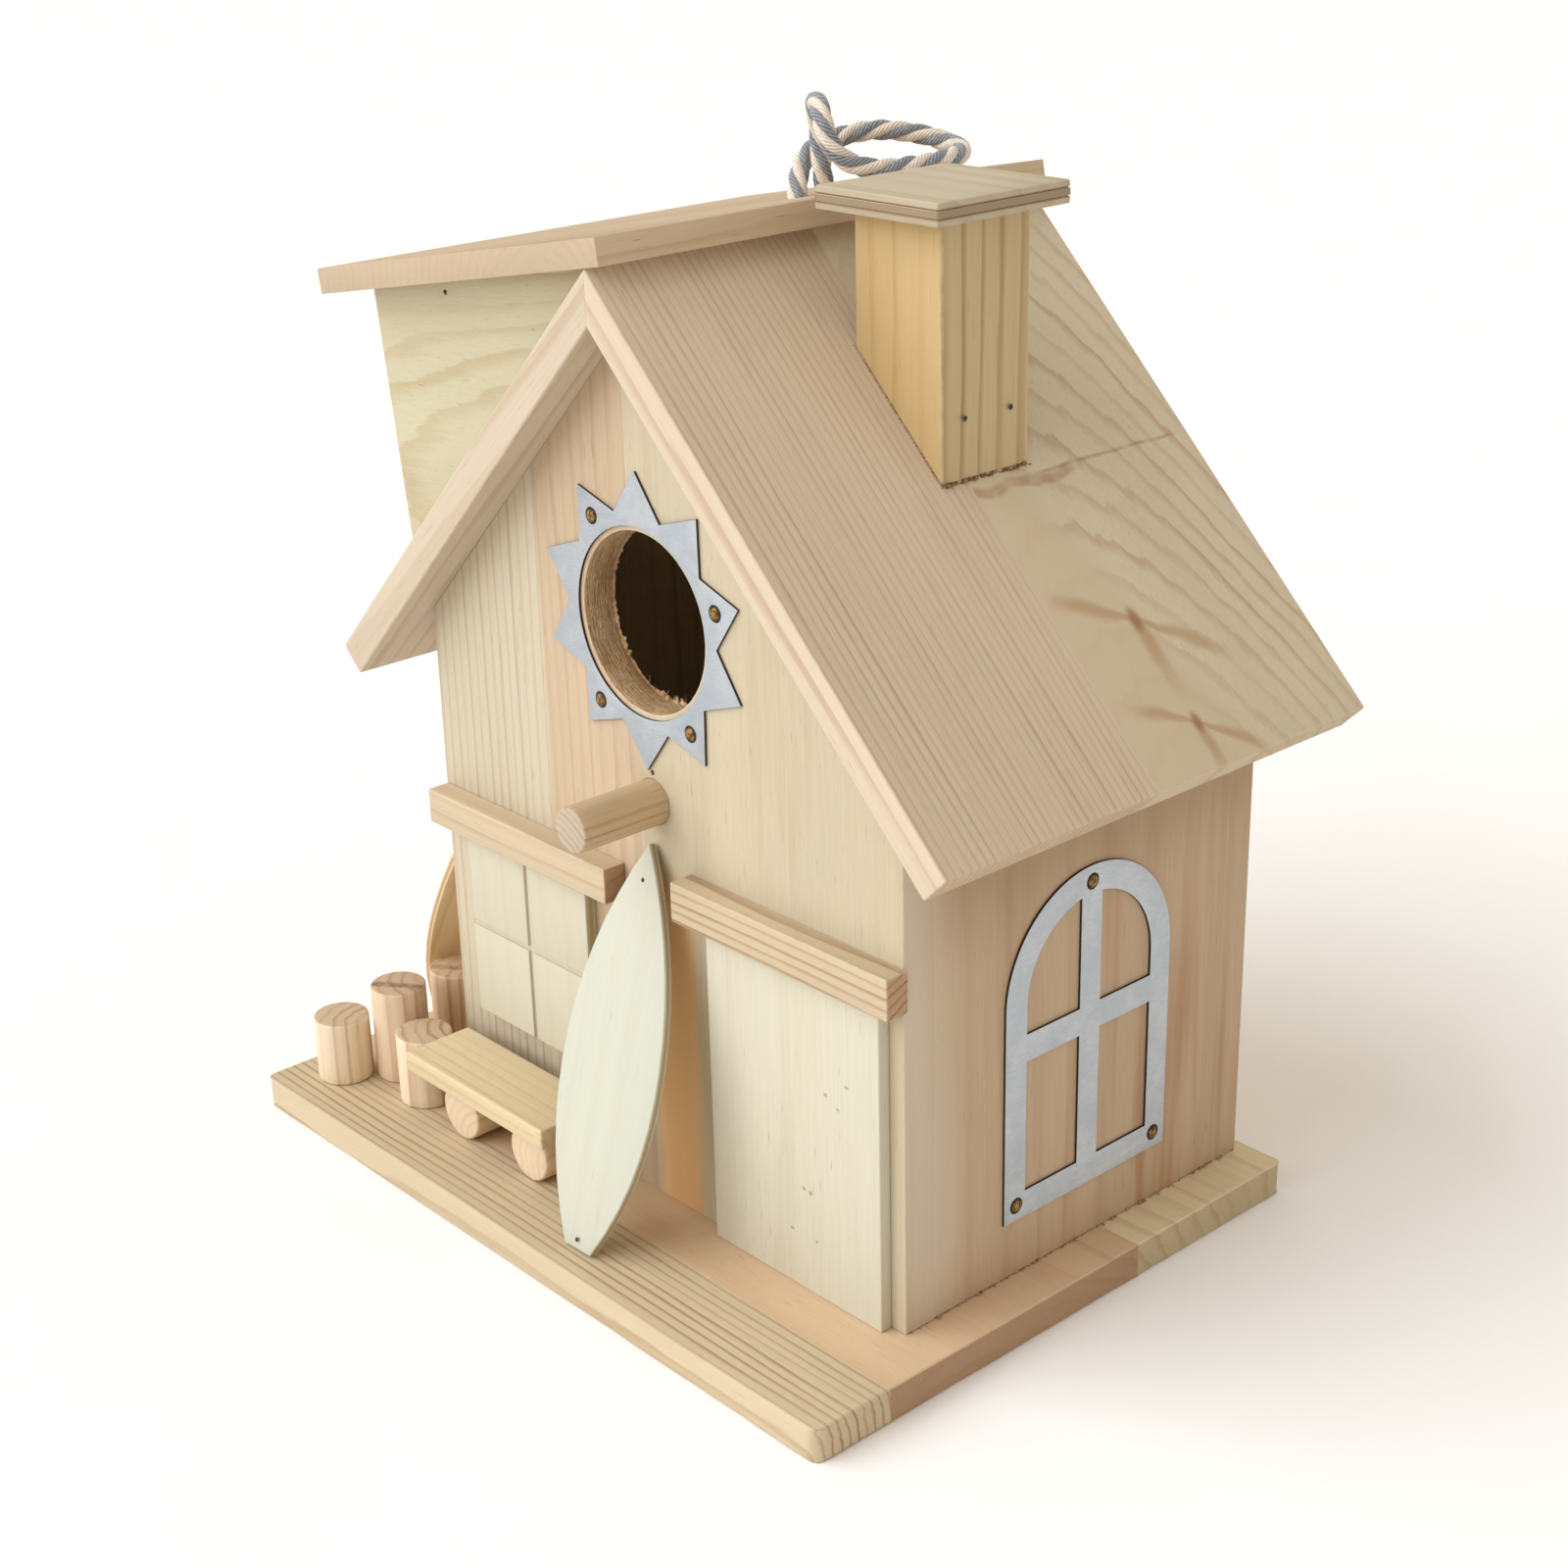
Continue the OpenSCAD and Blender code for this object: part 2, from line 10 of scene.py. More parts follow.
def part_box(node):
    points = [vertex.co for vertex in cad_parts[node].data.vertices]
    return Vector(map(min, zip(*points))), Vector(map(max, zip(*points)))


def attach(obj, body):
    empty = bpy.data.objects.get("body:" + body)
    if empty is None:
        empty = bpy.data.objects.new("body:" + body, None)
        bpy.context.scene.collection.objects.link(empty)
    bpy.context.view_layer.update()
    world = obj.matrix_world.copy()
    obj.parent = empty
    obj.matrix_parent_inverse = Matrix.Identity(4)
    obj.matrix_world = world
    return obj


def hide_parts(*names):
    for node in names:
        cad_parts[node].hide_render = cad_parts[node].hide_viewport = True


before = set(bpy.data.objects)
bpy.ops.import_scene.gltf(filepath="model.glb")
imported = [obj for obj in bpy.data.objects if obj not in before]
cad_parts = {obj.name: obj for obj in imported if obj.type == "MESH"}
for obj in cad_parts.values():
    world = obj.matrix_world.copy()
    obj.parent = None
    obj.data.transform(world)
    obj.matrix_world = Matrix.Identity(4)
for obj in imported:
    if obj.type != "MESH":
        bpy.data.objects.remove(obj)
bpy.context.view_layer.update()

MM = 0.001
UP = Vector((0, 0, 1))
RIGHT = Vector((1, 0, 0))
BACK = Vector((0, 1, 0))

wall_low, wall_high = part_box("front_wall")
HOUSE = Vector(((wall_low.x + wall_high.x) / 2, wall_low.y, wall_low.z))


def at(x, y, z):
    """A place in the house's own millimetres: X across, Y back from the front wall, Z up."""
    return HOUSE + Vector((x, y, z)) * MM


def paint(code):
    """A colour from its six-digit code."""
    shares = [int(code[k:k + 2], 16) / 255 for k in (0, 2, 4)]
    return tuple(s / 12.92 if s < 0.04045 else ((s + 0.055) / 1.055) ** 2.4 for s in shares) + (1,)


# Roof and dormer slopes, from the frame

roof_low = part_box("roof_right_back_board")[0]
RIDGE = at(0, 0, 207)
ROOF_PITCH = math.radians(45.2)
DORMER_PITCH = math.radians(10.4)
ROOF_DOWN = Vector((math.cos(ROOF_PITCH), 0, -math.sin(ROOF_PITCH)))
ROOF_NORMAL = Vector((math.sin(ROOF_PITCH), 0, math.cos(ROOF_PITCH)))
LEFT_DOWN = Vector((-math.cos(ROOF_PITCH), 0, -math.sin(ROOF_PITCH)))
LEFT_NORMAL = Vector((-math.sin(ROOF_PITCH), 0, math.cos(ROOF_PITCH)))
DORMER_NORMAL = Vector((-math.sin(DORMER_PITCH), 0, math.cos(DORMER_PITCH)))


def new_object(name, data):
    made = bpy.data.objects.new(name, data)
    bpy.context.scene.collection.objects.link(made)
    return made


# ---- Camera ----

def aim_camera():
    camera = new_object("camera", bpy.data.cameras.new("camera"))
    turn = (Matrix.Rotation(math.radians(48.38), 4, "Z")
            @ Matrix.Rotation(math.radians(90 - 22.23), 4, "X")
            @ Matrix.Rotation(math.radians(-1.46), 4, "Z"))
    camera.matrix_world = Matrix.Translation(at(382.7, -302.5, 297.1)) @ turn
    camera.data.sensor_width = 36
    camera.data.lens = 58.15
    camera.data.clip_start = 0.01
    bpy.context.scene.camera = camera


aim_camera()


# ---- Node trees ----

class Graph:
    """Short calls that add nodes to a tree and link them."""

    def __init__(self, tree):
        self.tree = tree

    def node(self, kind, **settings):
        made = self.tree.nodes.new(kind)
        for key, value in settings.items():
            setattr(made, key, value)
        return made

    def feed(self, socket, value):
        if isinstance(value, bpy.types.NodeSocket):
            self.tree.links.new(value, socket)
        elif value is not None:
            socket.default_value = value

    def call(self, kind, settings=None, **values):
        """A node with its inputs fed by name, and its outputs."""
        made = self.node(kind, **(settings or {}))
        for key, value in values.items():
            self.feed(made.inputs[key.replace("_", " ")], value)
        return made.outputs

    def math(self, operation, a, b=None, c=None, clamp=False):
        made = self.node("ShaderNodeMath", operation=operation, use_clamp=clamp)
        for socket, value in zip(made.inputs, (a, b, c)):
            self.feed(socket, value)
        return made.outputs[0]

    def add(self, *values):
        total = values[0]
        for value in values[1:]:
            total = self.math("ADD", total, value)
        return total

    def times(self, *values):
        total = values[0]
        for value in values[1:]:
            total = self.math("MULTIPLY", total, value)
        return total

    def vector(self, operation, a, b=None, scale=None):
        made = self.node("ShaderNodeVectorMath", operation=operation)
        self.feed(made.inputs[0], a)
        self.feed(made.inputs[1], b)
        if scale is not None:
            self.feed(made.inputs["Scale"], scale)
        return made.outputs["Value" if operation in ("LENGTH", "DOT_PRODUCT") else "Vector"]

    def noise(self, place, stretch, detail=2.0, roughness=0.5):
        """Noise from 0 to 1. stretch is how many features a millimetre holds along each axis."""
        scaled = self.vector("MULTIPLY", place, stretch)
        made = self.node("ShaderNodeTexNoise")
        for key, value in (("Vector", scaled), ("Scale", 1.0), ("Detail", detail),
                           ("Roughness", roughness)):
            self.feed(made.inputs[key], value)
        return made.outputs["Fac"]

    def ramp(self, value, low, high, out_low=0.0, out_high=1.0):
        made = self.node("ShaderNodeMapRange", interpolation_type="SMOOTHSTEP")
        for socket, given in zip(made.inputs, (value, low, high, out_low, out_high)):
            self.feed(socket, given)
        return made.outputs["Result"]

    def mix(self, share, a, b, blend="MIX"):
        made = self.node("ShaderNodeMix", data_type="RGBA", blend_type=blend)
        self.feed(made.inputs[0], share)
        self.feed(made.inputs[6], a)
        self.feed(made.inputs[7], b)
        return made.outputs[2]

    def split(self, vector):
        made = self.node("ShaderNodeSeparateXYZ")
        self.feed(made.inputs[0], vector)
        return made.outputs

    def facing(self, direction):
        """How far a face looks along a direction, from -1 to 1."""
        return self.vector("DOT_PRODUCT", self.node("ShaderNodeTexCoord").outputs["Normal"], direction)

    def object_place(self):
        return self.node("ShaderNodeTexCoord").outputs["Object"]

    def millimetre_place(self):
        return self.vector("SCALE", self.object_place(), scale=1 / MM)

    def group(self, group_name, **values):
        """A shared group with its named inputs fed, and its outputs."""
        made = self.node(self.group_kind(), node_tree=bpy.data.node_groups[group_name])
        for key, value in values.items():
            self.feed(made.inputs[key.replace("_", " ").title()], value)
        return made.outputs

    def group_kind(self):
        return "GeometryNodeGroup" if self.tree.bl_idname == "GeometryNodeTree" else "ShaderNodeGroup"


def new_group(name, kind, inputs, outputs):
    """A node group with named sockets: its graph, what it is given and what it gives back."""
    tree = bpy.data.node_groups.new(name, kind)
    for label, socket_kind, value in inputs:
        socket = tree.interface.new_socket(label, in_out="INPUT", socket_type="NodeSocket" + socket_kind)
        if value is not None:
            socket.default_value = value
    for label, socket_kind in outputs:
        tree.interface.new_socket(label, in_out="OUTPUT", socket_type="NodeSocket" + socket_kind)
    graph = Graph(tree)
    return graph, graph.node("NodeGroupInput").outputs, graph.node("NodeGroupOutput").inputs


# ---- Shared effects ----

def make_timber_group():
    """Growth rings round the board's heart line, with fibres, resin flecks and end grain.
    Place is in millimetres: X and Y out from the heart, Z along the grain."""
    g, given, result = new_group("timber", "ShaderNodeTree", [
        ("Place", "Vector", None), ("Grain Axis", "Vector", None),
        ("Early Wood", "Color", None), ("Late Wood", "Color", None),
        ("Ring Gap", "Float", 2.0), ("Ring Strength", "Float", 0.6), ("Late Share", "Float", 0.45),
        ("Wander", "Float", 2.0), ("Fibre", "Float", 0.12), ("Flecks", "Float", 0.25),
        ("Blotch", "Float", 0.08), ("End Color", "Color", None), ("End Share", "Float", 0.5),
    ], [("Color", "Color"), ("Roughness", "Float"), ("Height", "Float")])
    place = given["Place"]
    facing = g.facing(given["Grain Axis"])
    end = g.ramp(g.math("ABSOLUTE", facing), 0.6, 0.85)

    sway = g.math("SUBTRACT", g.noise(place, (0.022, 0.022, 0.006)), 0.5)
    ragged = g.math("SUBTRACT", g.noise(place, (0.3, 0.3, 0.015), 3.0), 0.5)
    flat = g.vector("MULTIPLY", place, (1, 1, 0))
    radius = g.add(g.vector("LENGTH", flat), g.times(sway, given["Wander"], 2.0),
                   g.times(ragged, given["Ring Gap"], 0.7))
    phase = g.math("DIVIDE", radius, given["Ring Gap"])
    within = g.math("FRACT", phase)
    year = g.call("ShaderNodeTexWhiteNoise", {"noise_dimensions": "1D"}, W=g.math("FLOOR", phase))
    rise = g.ramp(within, g.math("SUBTRACT", 0.95, given["Late Share"]), 0.9)
    late = g.times(rise, g.ramp(within, 0.92, 1.0, 1.0, 0.0),
                   g.ramp(year["Value"], 0.0, 1.0, 0.45, 1.0),
                   g.ramp(g.noise(place, (0.05, 0.05, 0.012)), 0.3, 0.7, 0.6, 1.1))
    strength = g.times(late, given["Ring Strength"], g.ramp(end, 0.0, 1.0, 1.0, 1.5))

    fibre = g.math("SUBTRACT", g.noise(place, (1.4, 1.4, 0.025), 4.0, 0.65), 0.5)
    fine = g.math("SUBTRACT", g.noise(place, (5.0, 5.0, 0.07), 2.0), 0.5)
    fleck = g.times(g.ramp(g.noise(place, (2.6, 2.6, 0.14), 1.0), 0.70, 0.80),
                    g.math("SUBTRACT", 1.0, end))
    cloud = g.math("SUBTRACT", g.noise(place, (0.05, 0.05, 0.009), 2.0), 0.5)
    value = g.add(1.0, g.times(fibre, given["Fibre"], 2.0), g.times(fine, given["Fibre"]),
                  g.times(cloud, given["Blotch"], 2.0))
    value = g.math("SUBTRACT", value, g.times(fleck, given["Flecks"]))
    color = g.mix(strength, given["Early Wood"], given["Late Wood"])
    color = g.mix(g.times(end, given["End Share"]), color, given["End Color"])
    color = g.vector("SCALE", color, scale=value)
    g.feed(result["Color"], color)
    g.feed(result["Roughness"], g.add(0.6, g.times(fibre, 0.3), g.times(end, 0.12)))
    height = g.add(g.times(fibre, 0.9), g.times(fine, 0.5), g.times(strength, 0.35))
    g.feed(result["Height"], g.math("SUBTRACT", height, fleck))


def make_edge_group():
    """Sanded corners: paler and a little fuzzier than the faces beside them. The paleness is partly
    sanded wood and partly a painted highlight where the rounding catches the light.
    """
    g, given, result = new_group("sanded corners", "ShaderNodeTree", [
        ("Color", "Color", None), ("Corner Color", "Color", None), ("Amount", "Float", 0.35),
        ("Place", "Vector", None),
    ], [("Color", "Color")])
    corner = g.node("ShaderNodeAttribute", attribute_name="corner").outputs["Fac"]
    patchy = g.ramp(g.noise(given["Place"], (0.3, 0.3, 0.3)), 0.35, 0.6)
    g.feed(result["Color"], g.mix(g.times(corner, given["Amount"], patchy),
                                  given["Color"], given["Corner Color"]))


def make_knot_group():
    """A small knot on a board's face: a dark core, a slanting flame and a streak below it.
    Place is in millimetres on the face: X down the grain, Y across."""
    g, given, result = new_group("knot", "ShaderNodeTree", [
        ("Place", "Vector", None), ("Centre", "Vector", None), ("Size", "Float", 1.0),
    ], [("Core", "Float"), ("Flame", "Float")])
    offset = g.vector("SUBTRACT", given["Place"], given["Centre"])
    offset = g.vector("SCALE", offset, scale=g.math("DIVIDE", 1.0, given["Size"]))
    sway = g.math("SUBTRACT", g.noise(given["Place"], (0.12, 0.12, 0.12), 3.0), 0.5)
    down, side, _ = g.split(offset)
    side_size = g.math("ABSOLUTE", side)
    core = g.ramp(g.vector("LENGTH", g.vector("MULTIPLY", offset, (0.5, 1.0, 0))), 0.5, 2.1, 1.0, 0.0)
    slant = g.add(down, g.times(side, -0.6), g.times(side, side, -0.006), g.times(sway, 3.0))
    wing = g.ramp(side_size, 0.0, 12.0, 1.2, 3.6)
    band = g.times(g.ramp(g.math("ABSOLUTE", slant), 0.3, wing, 1.0, 0.0),
                   g.ramp(side_size, 12.0, 21.0, 1.0, 0.0))
    streak = g.times(g.ramp(g.math("ABSOLUTE", g.add(side, g.times(sway, 2.5))), 0.5, 2.8, 1.0, 0.0),
                     g.ramp(down, 5.0, 22.0, 1.0, 0.0), g.ramp(down, -4.0, 1.0))
    g.feed(result["Core"], core)
    g.feed(result["Flame"], g.math("MAXIMUM", band, streak))


def make_smear_group():
    """A dried smear of glue or a line that runs across a face: soft-edged and uneven.
    Place is in millimetres on the face; the smear lies along Y at X = 0."""
    g, given, result = new_group("smear", "ShaderNodeTree", [
        ("Place", "Vector", None), ("Half Width", "Float", 1.0), ("Start", "Float", 0.0),
        ("Stop", "Float", 40.0), ("Sway", "Float", 1.0),
    ], [("Mask", "Float")])
    across, along, _ = g.split(given["Place"])
    sway = g.math("SUBTRACT", g.noise(given["Place"], (0.08, 0.08, 0.08), 2.0), 0.5)
    off = g.math("ABSOLUTE", g.add(across, g.times(sway, given["Sway"], 4.0)))
    line = g.ramp(g.math("DIVIDE", off, given["Half Width"]), 0.4, 1.3, 1.0, 0.0)
    begins = g.ramp(g.math("SUBTRACT", along, given["Start"]), -2.0, 2.0)
    ends = g.ramp(g.math("SUBTRACT", along, given["Stop"]), -2.0, 2.0, 1.0, 0.0)
    broken = g.ramp(g.noise(given["Place"], (0.25, 0.25, 0.25), 3.0), 0.35, 0.6, 0.35, 1.0)
    g.feed(result["Mask"], g.times(line, begins, ends, broken))


make_timber_group()
make_edge_group()
make_knot_group()
make_smear_group()


# ---- Materials ----

def new_material(name, **finish):
    """A material, its graph and its shader, with plain numbers set on the shader's own sockets."""
    material = bpy.data.materials.new(name)
    material.use_nodes = True
    shader = material.node_tree.nodes["Principled BSDF"]
    for key, value in finish.items():
        shader.inputs[key.replace("_", " ")].default_value = value
    return material, Graph(material.node_tree), shader


def turned_place(g, rows, middle, offset=(0, 0, 0)):
    """The place in millimetres along three directions, with middle moved to offset."""
    turn = Matrix(rows)
    location = Vector(offset) - turn @ (Vector(middle) / MM)
    mapped = g.call("ShaderNodeMapping", {"vector_type": "POINT"}, Vector=g.object_place(),
                    Location=location, Rotation=turn.to_euler("XYZ"), Scale=(1 / MM,) * 3)
    return mapped["Vector"]


def bump(g, shader, height, strength, depth_mm):
    made = g.call("ShaderNodeBump", Height=height, Strength=strength, Distance=depth_mm * MM)
    g.feed(shader.inputs["Normal"], made["Normal"])


def seed_of(name):
    return sum((k + 3) * ord(letter) for k, letter in enumerate(name)) % 997


def timber(name, normal, grain, middle, early, late, heart=(0, 60), lean=(0, 0), ring_gap=2.0,
           ring_strength=0.5, late_share=0.45, wander=2.0, fibre=0.10, flecks=0.2, blotch=0.08,
           end="BCA482", end_share=0.5, corner="D9C8A8", marks=None):
    """Bare pine. heart is where the board's middle lies from the tree's heart, in millimetres
    across the face and through it; lean tips the heart line, so that rings arch on the face."""
    material, g, shader = new_material(name, Roughness=0.6)
    shader.inputs["Specular IOR Level"].default_value = 0.3
    across = normal.cross(grain)
    axis = (grain + across * lean[0] + normal * lean[1]).normalized()
    side = normal.cross(axis).normalized()
    rows = (side, axis.cross(side), axis)
    place = turned_place(g, rows, middle, (heart[0], heart[1], seed_of(name)))
    wood = g.group("timber", place=place, grain_axis=tuple(grain), early_wood=paint(early),
                   late_wood=paint(late), ring_gap=ring_gap, ring_strength=ring_strength,
                   late_share=late_share, wander=wander, fibre=fibre, flecks=flecks,
                   blotch=blotch, end_color=paint(end), end_share=end_share)
    color, height, roughness = wood["Color"], wood["Height"], wood["Roughness"]
    if marks:
        color, roughness = marks(g, color, roughness)
    # Paler rounded corners: partly sanded wood, partly a painted highlight.
    color = g.group("sanded corners", color=color, corner_color=paint(corner), amount=0.3,
                    place=place)["Color"]
    g.feed(shader.inputs["Base Color"], color)
    g.feed(shader.inputs["Roughness"], roughness)
    bump(g, shader, height, 0.55, 0.12)
    return material


def plywood(name, normal, grain, middle, face, core, thickness, grain_lines=0.25, seam=None):
    """Thin three-ply: a pale veneer with a darker core, and perhaps dark seams, on the edges."""
    material, g, shader = new_material(name, Roughness=0.62)
    shader.inputs["Specular IOR Level"].default_value = 0.25
    across = normal.cross(grain)
    place = turned_place(g, (across, normal, grain), middle, (40, 30, seed_of(name)))
    wood = g.group("timber", place=place, grain_axis=(0, 0, 0), early_wood=paint(face),
                   late_wood=paint(core), ring_gap=6.0, ring_strength=grain_lines, late_share=0.5,
                   wander=5.0, fibre=0.035, flecks=0.10, blotch=0.03, end_color=paint(core))
    through = turned_place(g, (across, normal, grain), middle)
    depth = g.math("ABSOLUTE", g.split(through)[1])
    layer = g.ramp(depth, thickness * 0.17, thickness * 0.21, 1.0, 0.0)
    facing = g.facing(tuple(normal))
    on_edge = g.ramp(g.math("ABSOLUTE", facing), 0.55, 0.75, 1.0, 0.0)
    color = g.mix(g.times(layer, on_edge), wood["Color"], paint(core))
    color = g.mix(g.times(on_edge, 0.25), color, paint(core))
    if seam:
        off = g.math("ABSOLUTE", g.math("SUBTRACT", depth, thickness * 0.2))
        line = g.ramp(off, 0.12, 0.3, 1.0, 0.0)
        color = g.mix(g.times(line, on_edge, 0.8), color, paint(seam))
    g.feed(shader.inputs["Base Color"], color)
    g.feed(shader.inputs["Roughness"], wood["Roughness"])
    height = g.math("SUBTRACT", wood["Height"], g.times(layer, on_edge, 1.5))
    bump(g, shader, height, 0.5, 0.1)
    return material


def sheet_metal(name, normal, light, mid, dim):
    """Satin zinc-coated sheet with dark cut edges and a faint cloudy bloom."""
    material, g, shader = new_material(name, Metallic=0.35)
    place = g.millimetre_place()
    cloud = g.noise(place, (0.12, 0.12, 0.12), 4.0, 0.6)
    brushed = g.noise(place, (0.5, 0.5, 4.0), 3.0)
    speck = g.ramp(g.noise(place, (2.0, 2.0, 2.0), 2.0), 0.64, 0.75)
    facing = g.facing(tuple(normal))
    cut = g.ramp(g.math("ABSOLUTE", facing), 0.5, 0.92, 1.0, 0.0)
    color = g.mix(g.ramp(cloud, 0.3, 0.7), paint(mid), paint(light))
    color = g.mix(g.ramp(brushed, 0.35, 0.65, 0.0, 0.35), color, paint(dim))
    color = g.mix(g.times(speck, 0.35), color, paint("8E969E"))
    color = g.mix(cut, color, paint("3A2C22"))
    g.feed(shader.inputs["Base Color"], color)
    g.feed(shader.inputs["Roughness"], g.ramp(cloud, 0.2, 0.8, 0.42, 0.6))
    bump(g, shader, g.add(cloud, g.times(brushed, 0.4)), 0.25, 0.05)
    return material


def pin_metal(name, bright, dull, metallic, rough):
    """Small nail metal: bright where it was rubbed, dull and spotted elsewhere."""
    material, g, shader = new_material(name, Metallic=metallic)
    place = g.millimetre_place()
    spots = g.noise(place, (1.1, 1.1, 1.1), 4.0, 0.6)
    g.feed(shader.inputs["Base Color"], g.mix(g.ramp(spots, 0.35, 0.65), paint(bright), paint(dull)))
    g.feed(shader.inputs["Roughness"], g.ramp(spots, 0.3, 0.7, rough, rough + 0.25))
    bump(g, shader, spots, 0.3, 0.06)
    return material


def dried_glue(name, light, dark):
    """Beads of dried glue mixed with saw dust."""
    material, g, shader = new_material(name, Roughness=0.5)
    place = g.millimetre_place()
    grit = g.noise(place, (1.2, 1.2, 1.2), 4.0, 0.65)
    g.feed(shader.inputs["Base Color"], g.mix(g.ramp(grit, 0.35, 0.6), paint(light), paint(dark)))
    bump(g, shader, grit, 0.5, 0.2)
    return material


def sawn_bore(name):
    """The rough wall that a hole saw leaves: torn brown end grain with fine rings."""
    material, g, shader = new_material(name, Roughness=0.85)
    shader.inputs["Specular IOR Level"].default_value = 0.15
    place = g.millimetre_place()
    torn = g.noise(place, (0.9, 2.4, 0.9), 5.0, 0.7)
    saw = g.noise(place, (0.15, 3.2, 0.15), 2.0, 0.6)
    cloud = g.noise(place, (0.09, 0.3, 0.09), 2.0)
    color = g.mix(g.ramp(torn, 0.3, 0.7), paint("C29A6C"), paint("F6DAB0"))
    color = g.mix(g.ramp(saw, 0.45, 0.7, 0.0, 0.6), color, paint("8A6240"))
    color = g.mix(g.ramp(cloud, 0.4, 0.65, 0.0, 0.5), color, paint("A57A50"))
    g.feed(shader.inputs["Base Color"], color)
    bump(g, shader, g.add(torn, saw), 0.9, 0.5)
    return material


def yarn(name, light, dark):
    """Soft cotton yarn: fine plies that wind round each strand, with pale fuzz."""
    material, g, shader = new_material(name, Roughness=0.9, Sheen_Weight=0.4, Sheen_Roughness=0.5)
    shader.inputs["Specular IOR Level"].default_value = 0.1
    turn, along, _ = g.split(g.node("ShaderNodeTexCoord").outputs["UV"])
    ply = g.math("SINE", g.times(g.add(turn, g.times(along, 0.45)), 6 * 2 * math.pi))
    place = g.millimetre_place()
    fuzz = g.noise(place, (1.6, 1.6, 1.6), 4.0, 0.7)
    cloud = g.noise(place, (0.25, 0.25, 0.25), 2.0)
    color = g.mix(g.ramp(g.add(g.times(ply, 0.25), fuzz), 0.25, 0.8), paint(dark), paint(light))
    color = g.mix(g.ramp(cloud, 0.45, 0.7, 0.0, 0.3), color, paint(light))
    g.feed(shader.inputs["Base Color"], color)
    bump(g, shader, g.add(g.times(ply, 0.5), g.times(fuzz, 1.4)), 0.7, 0.25)
    return material


# ---- Mesh work ----

def new_piece(name, work):
    """An object from a bmesh, at the origin."""
    mesh = bpy.data.meshes.new(name)
    work.to_mesh(mesh)
    work.free()
    return new_object(name, mesh)


def cad_copy(node):
    """A joined-up copy of a CAD node's mesh, with its flat faces whole."""
    work = bmesh.new()
    work.from_mesh(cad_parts[node].data)
    bmesh.ops.remove_doubles(work, verts=work.verts, dist=2e-6)
    bmesh.ops.dissolve_limit(work, angle_limit=math.radians(0.4), verts=work.verts, edges=work.edges)
    bmesh.ops.recalc_face_normals(work, faces=work.faces)
    return work


def apply_modifiers(piece):
    """Makes the modifiers' result the piece's own mesh."""
    view = bpy.context.evaluated_depsgraph_get()
    view.update()
    mesh = bpy.data.meshes.new_from_object(piece.evaluated_get(view))
    piece.modifiers.clear()
    piece.data = mesh


def bevel_by_weight(piece, width_mm, steps):
    """Bevels each edge by its own weight and shades the piece smooth."""
    rounding = piece.modifiers.new("rounding", "BEVEL")
    rounding.width = width_mm * MM
    rounding.segments = steps
    rounding.limit_method = "WEIGHT"
    rounding.harden_normals = True
    piece.data.shade_smooth()
    apply_modifiers(piece)


def round_corners(piece, width_mm, steps=3, angle=28, joints=()):
    """Rounds the sharp corners and tags the new faces, for the sanded look and its painted highlight.
    Corners that lie in a joint's plane, given as a point and a normal, stay almost sharp."""
    flats = list({tuple(round(c, 2) for c in face.normal): face.normal.copy()
                  for face in piece.data.polygons}.values())
    work = bmesh.new()
    work.from_mesh(piece.data)
    weight = work.edges.layers.float.new("bevel_weight_edge")
    for edge in work.edges:
        if edge.calc_face_angle(0) > math.radians(angle):
            tight = any(all(abs((v.co - spot).dot(normal)) < 2e-6 for v in edge.verts)
                        for spot, normal in joints)
            edge[weight] = 0.15 if tight else 1.0
    work.to_mesh(piece.data)
    work.free()
    bevel_by_weight(piece, width_mm, steps)
    tag = piece.data.attributes.new("corner", "FLOAT", "FACE")
    tag.data.foreach_set("value", [
        0.0 if max(face.normal.dot(flat) for flat in flats) > 0.985 else 1.0
        for face in piece.data.polygons])


def refine_round(work, centre, axis, radius_mm, cuts=3):
    """Cuts a round wall finer and moves its points onto the true circle."""
    radius = radius_mm * MM

    def off(point):
        arm = point - centre
        return arm - axis * arm.dot(axis)

    def on_circle(vert):
        return abs(off(vert.co).length - radius) < 0.06 * MM

    arcs = [e for e in work.edges if all(on_circle(v) for v in e.verts)
            and abs((e.verts[0].co - e.verts[1].co).dot(axis)) < 1e-6
            and (e.verts[0].co - e.verts[1].co).length < radius * 0.4]
    bmesh.ops.subdivide_edges(work, edges=arcs, cuts=cuts, use_grid_fill=True)
    for vert in work.verts:
        arm = off(vert.co)
        if radius * 0.98 < arm.length < radius + 0.06 * MM:
            vert.co += arm * (radius / arm.length - 1)


def settle(piece, nodes, materials, slot, body="house"):
    """Gives a finished piece its materials and its body, and hides the CAD nodes that it stands for."""
    indices = [face.material_index for face in piece.data.polygons]
    piece.data.materials.clear()
    for material in materials:
        piece.data.materials.append(material)
    piece.data.polygons.foreach_set("material_index", indices)
    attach(piece, body)
    if nodes:
        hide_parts(*nodes)
    return piece


def board(node, material, corner=0.45, body="house", joints=(), ends=None):
    """A sanded board in the place of its CAD node. ends is another wood for the faces
    that look to the right or the left."""
    piece = new_piece(node + "_sanded", cad_copy(node))
    round_corners(piece, corner, joints=joints)
    if ends:
        for face in piece.data.polygons:
            face.material_index = int(abs(face.normal.x) > 0.8)
    return settle(piece, [node], [material, ends] if ends else [material], node, body)


def middle_of(node):
    low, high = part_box(node)
    return (low + high) / 2


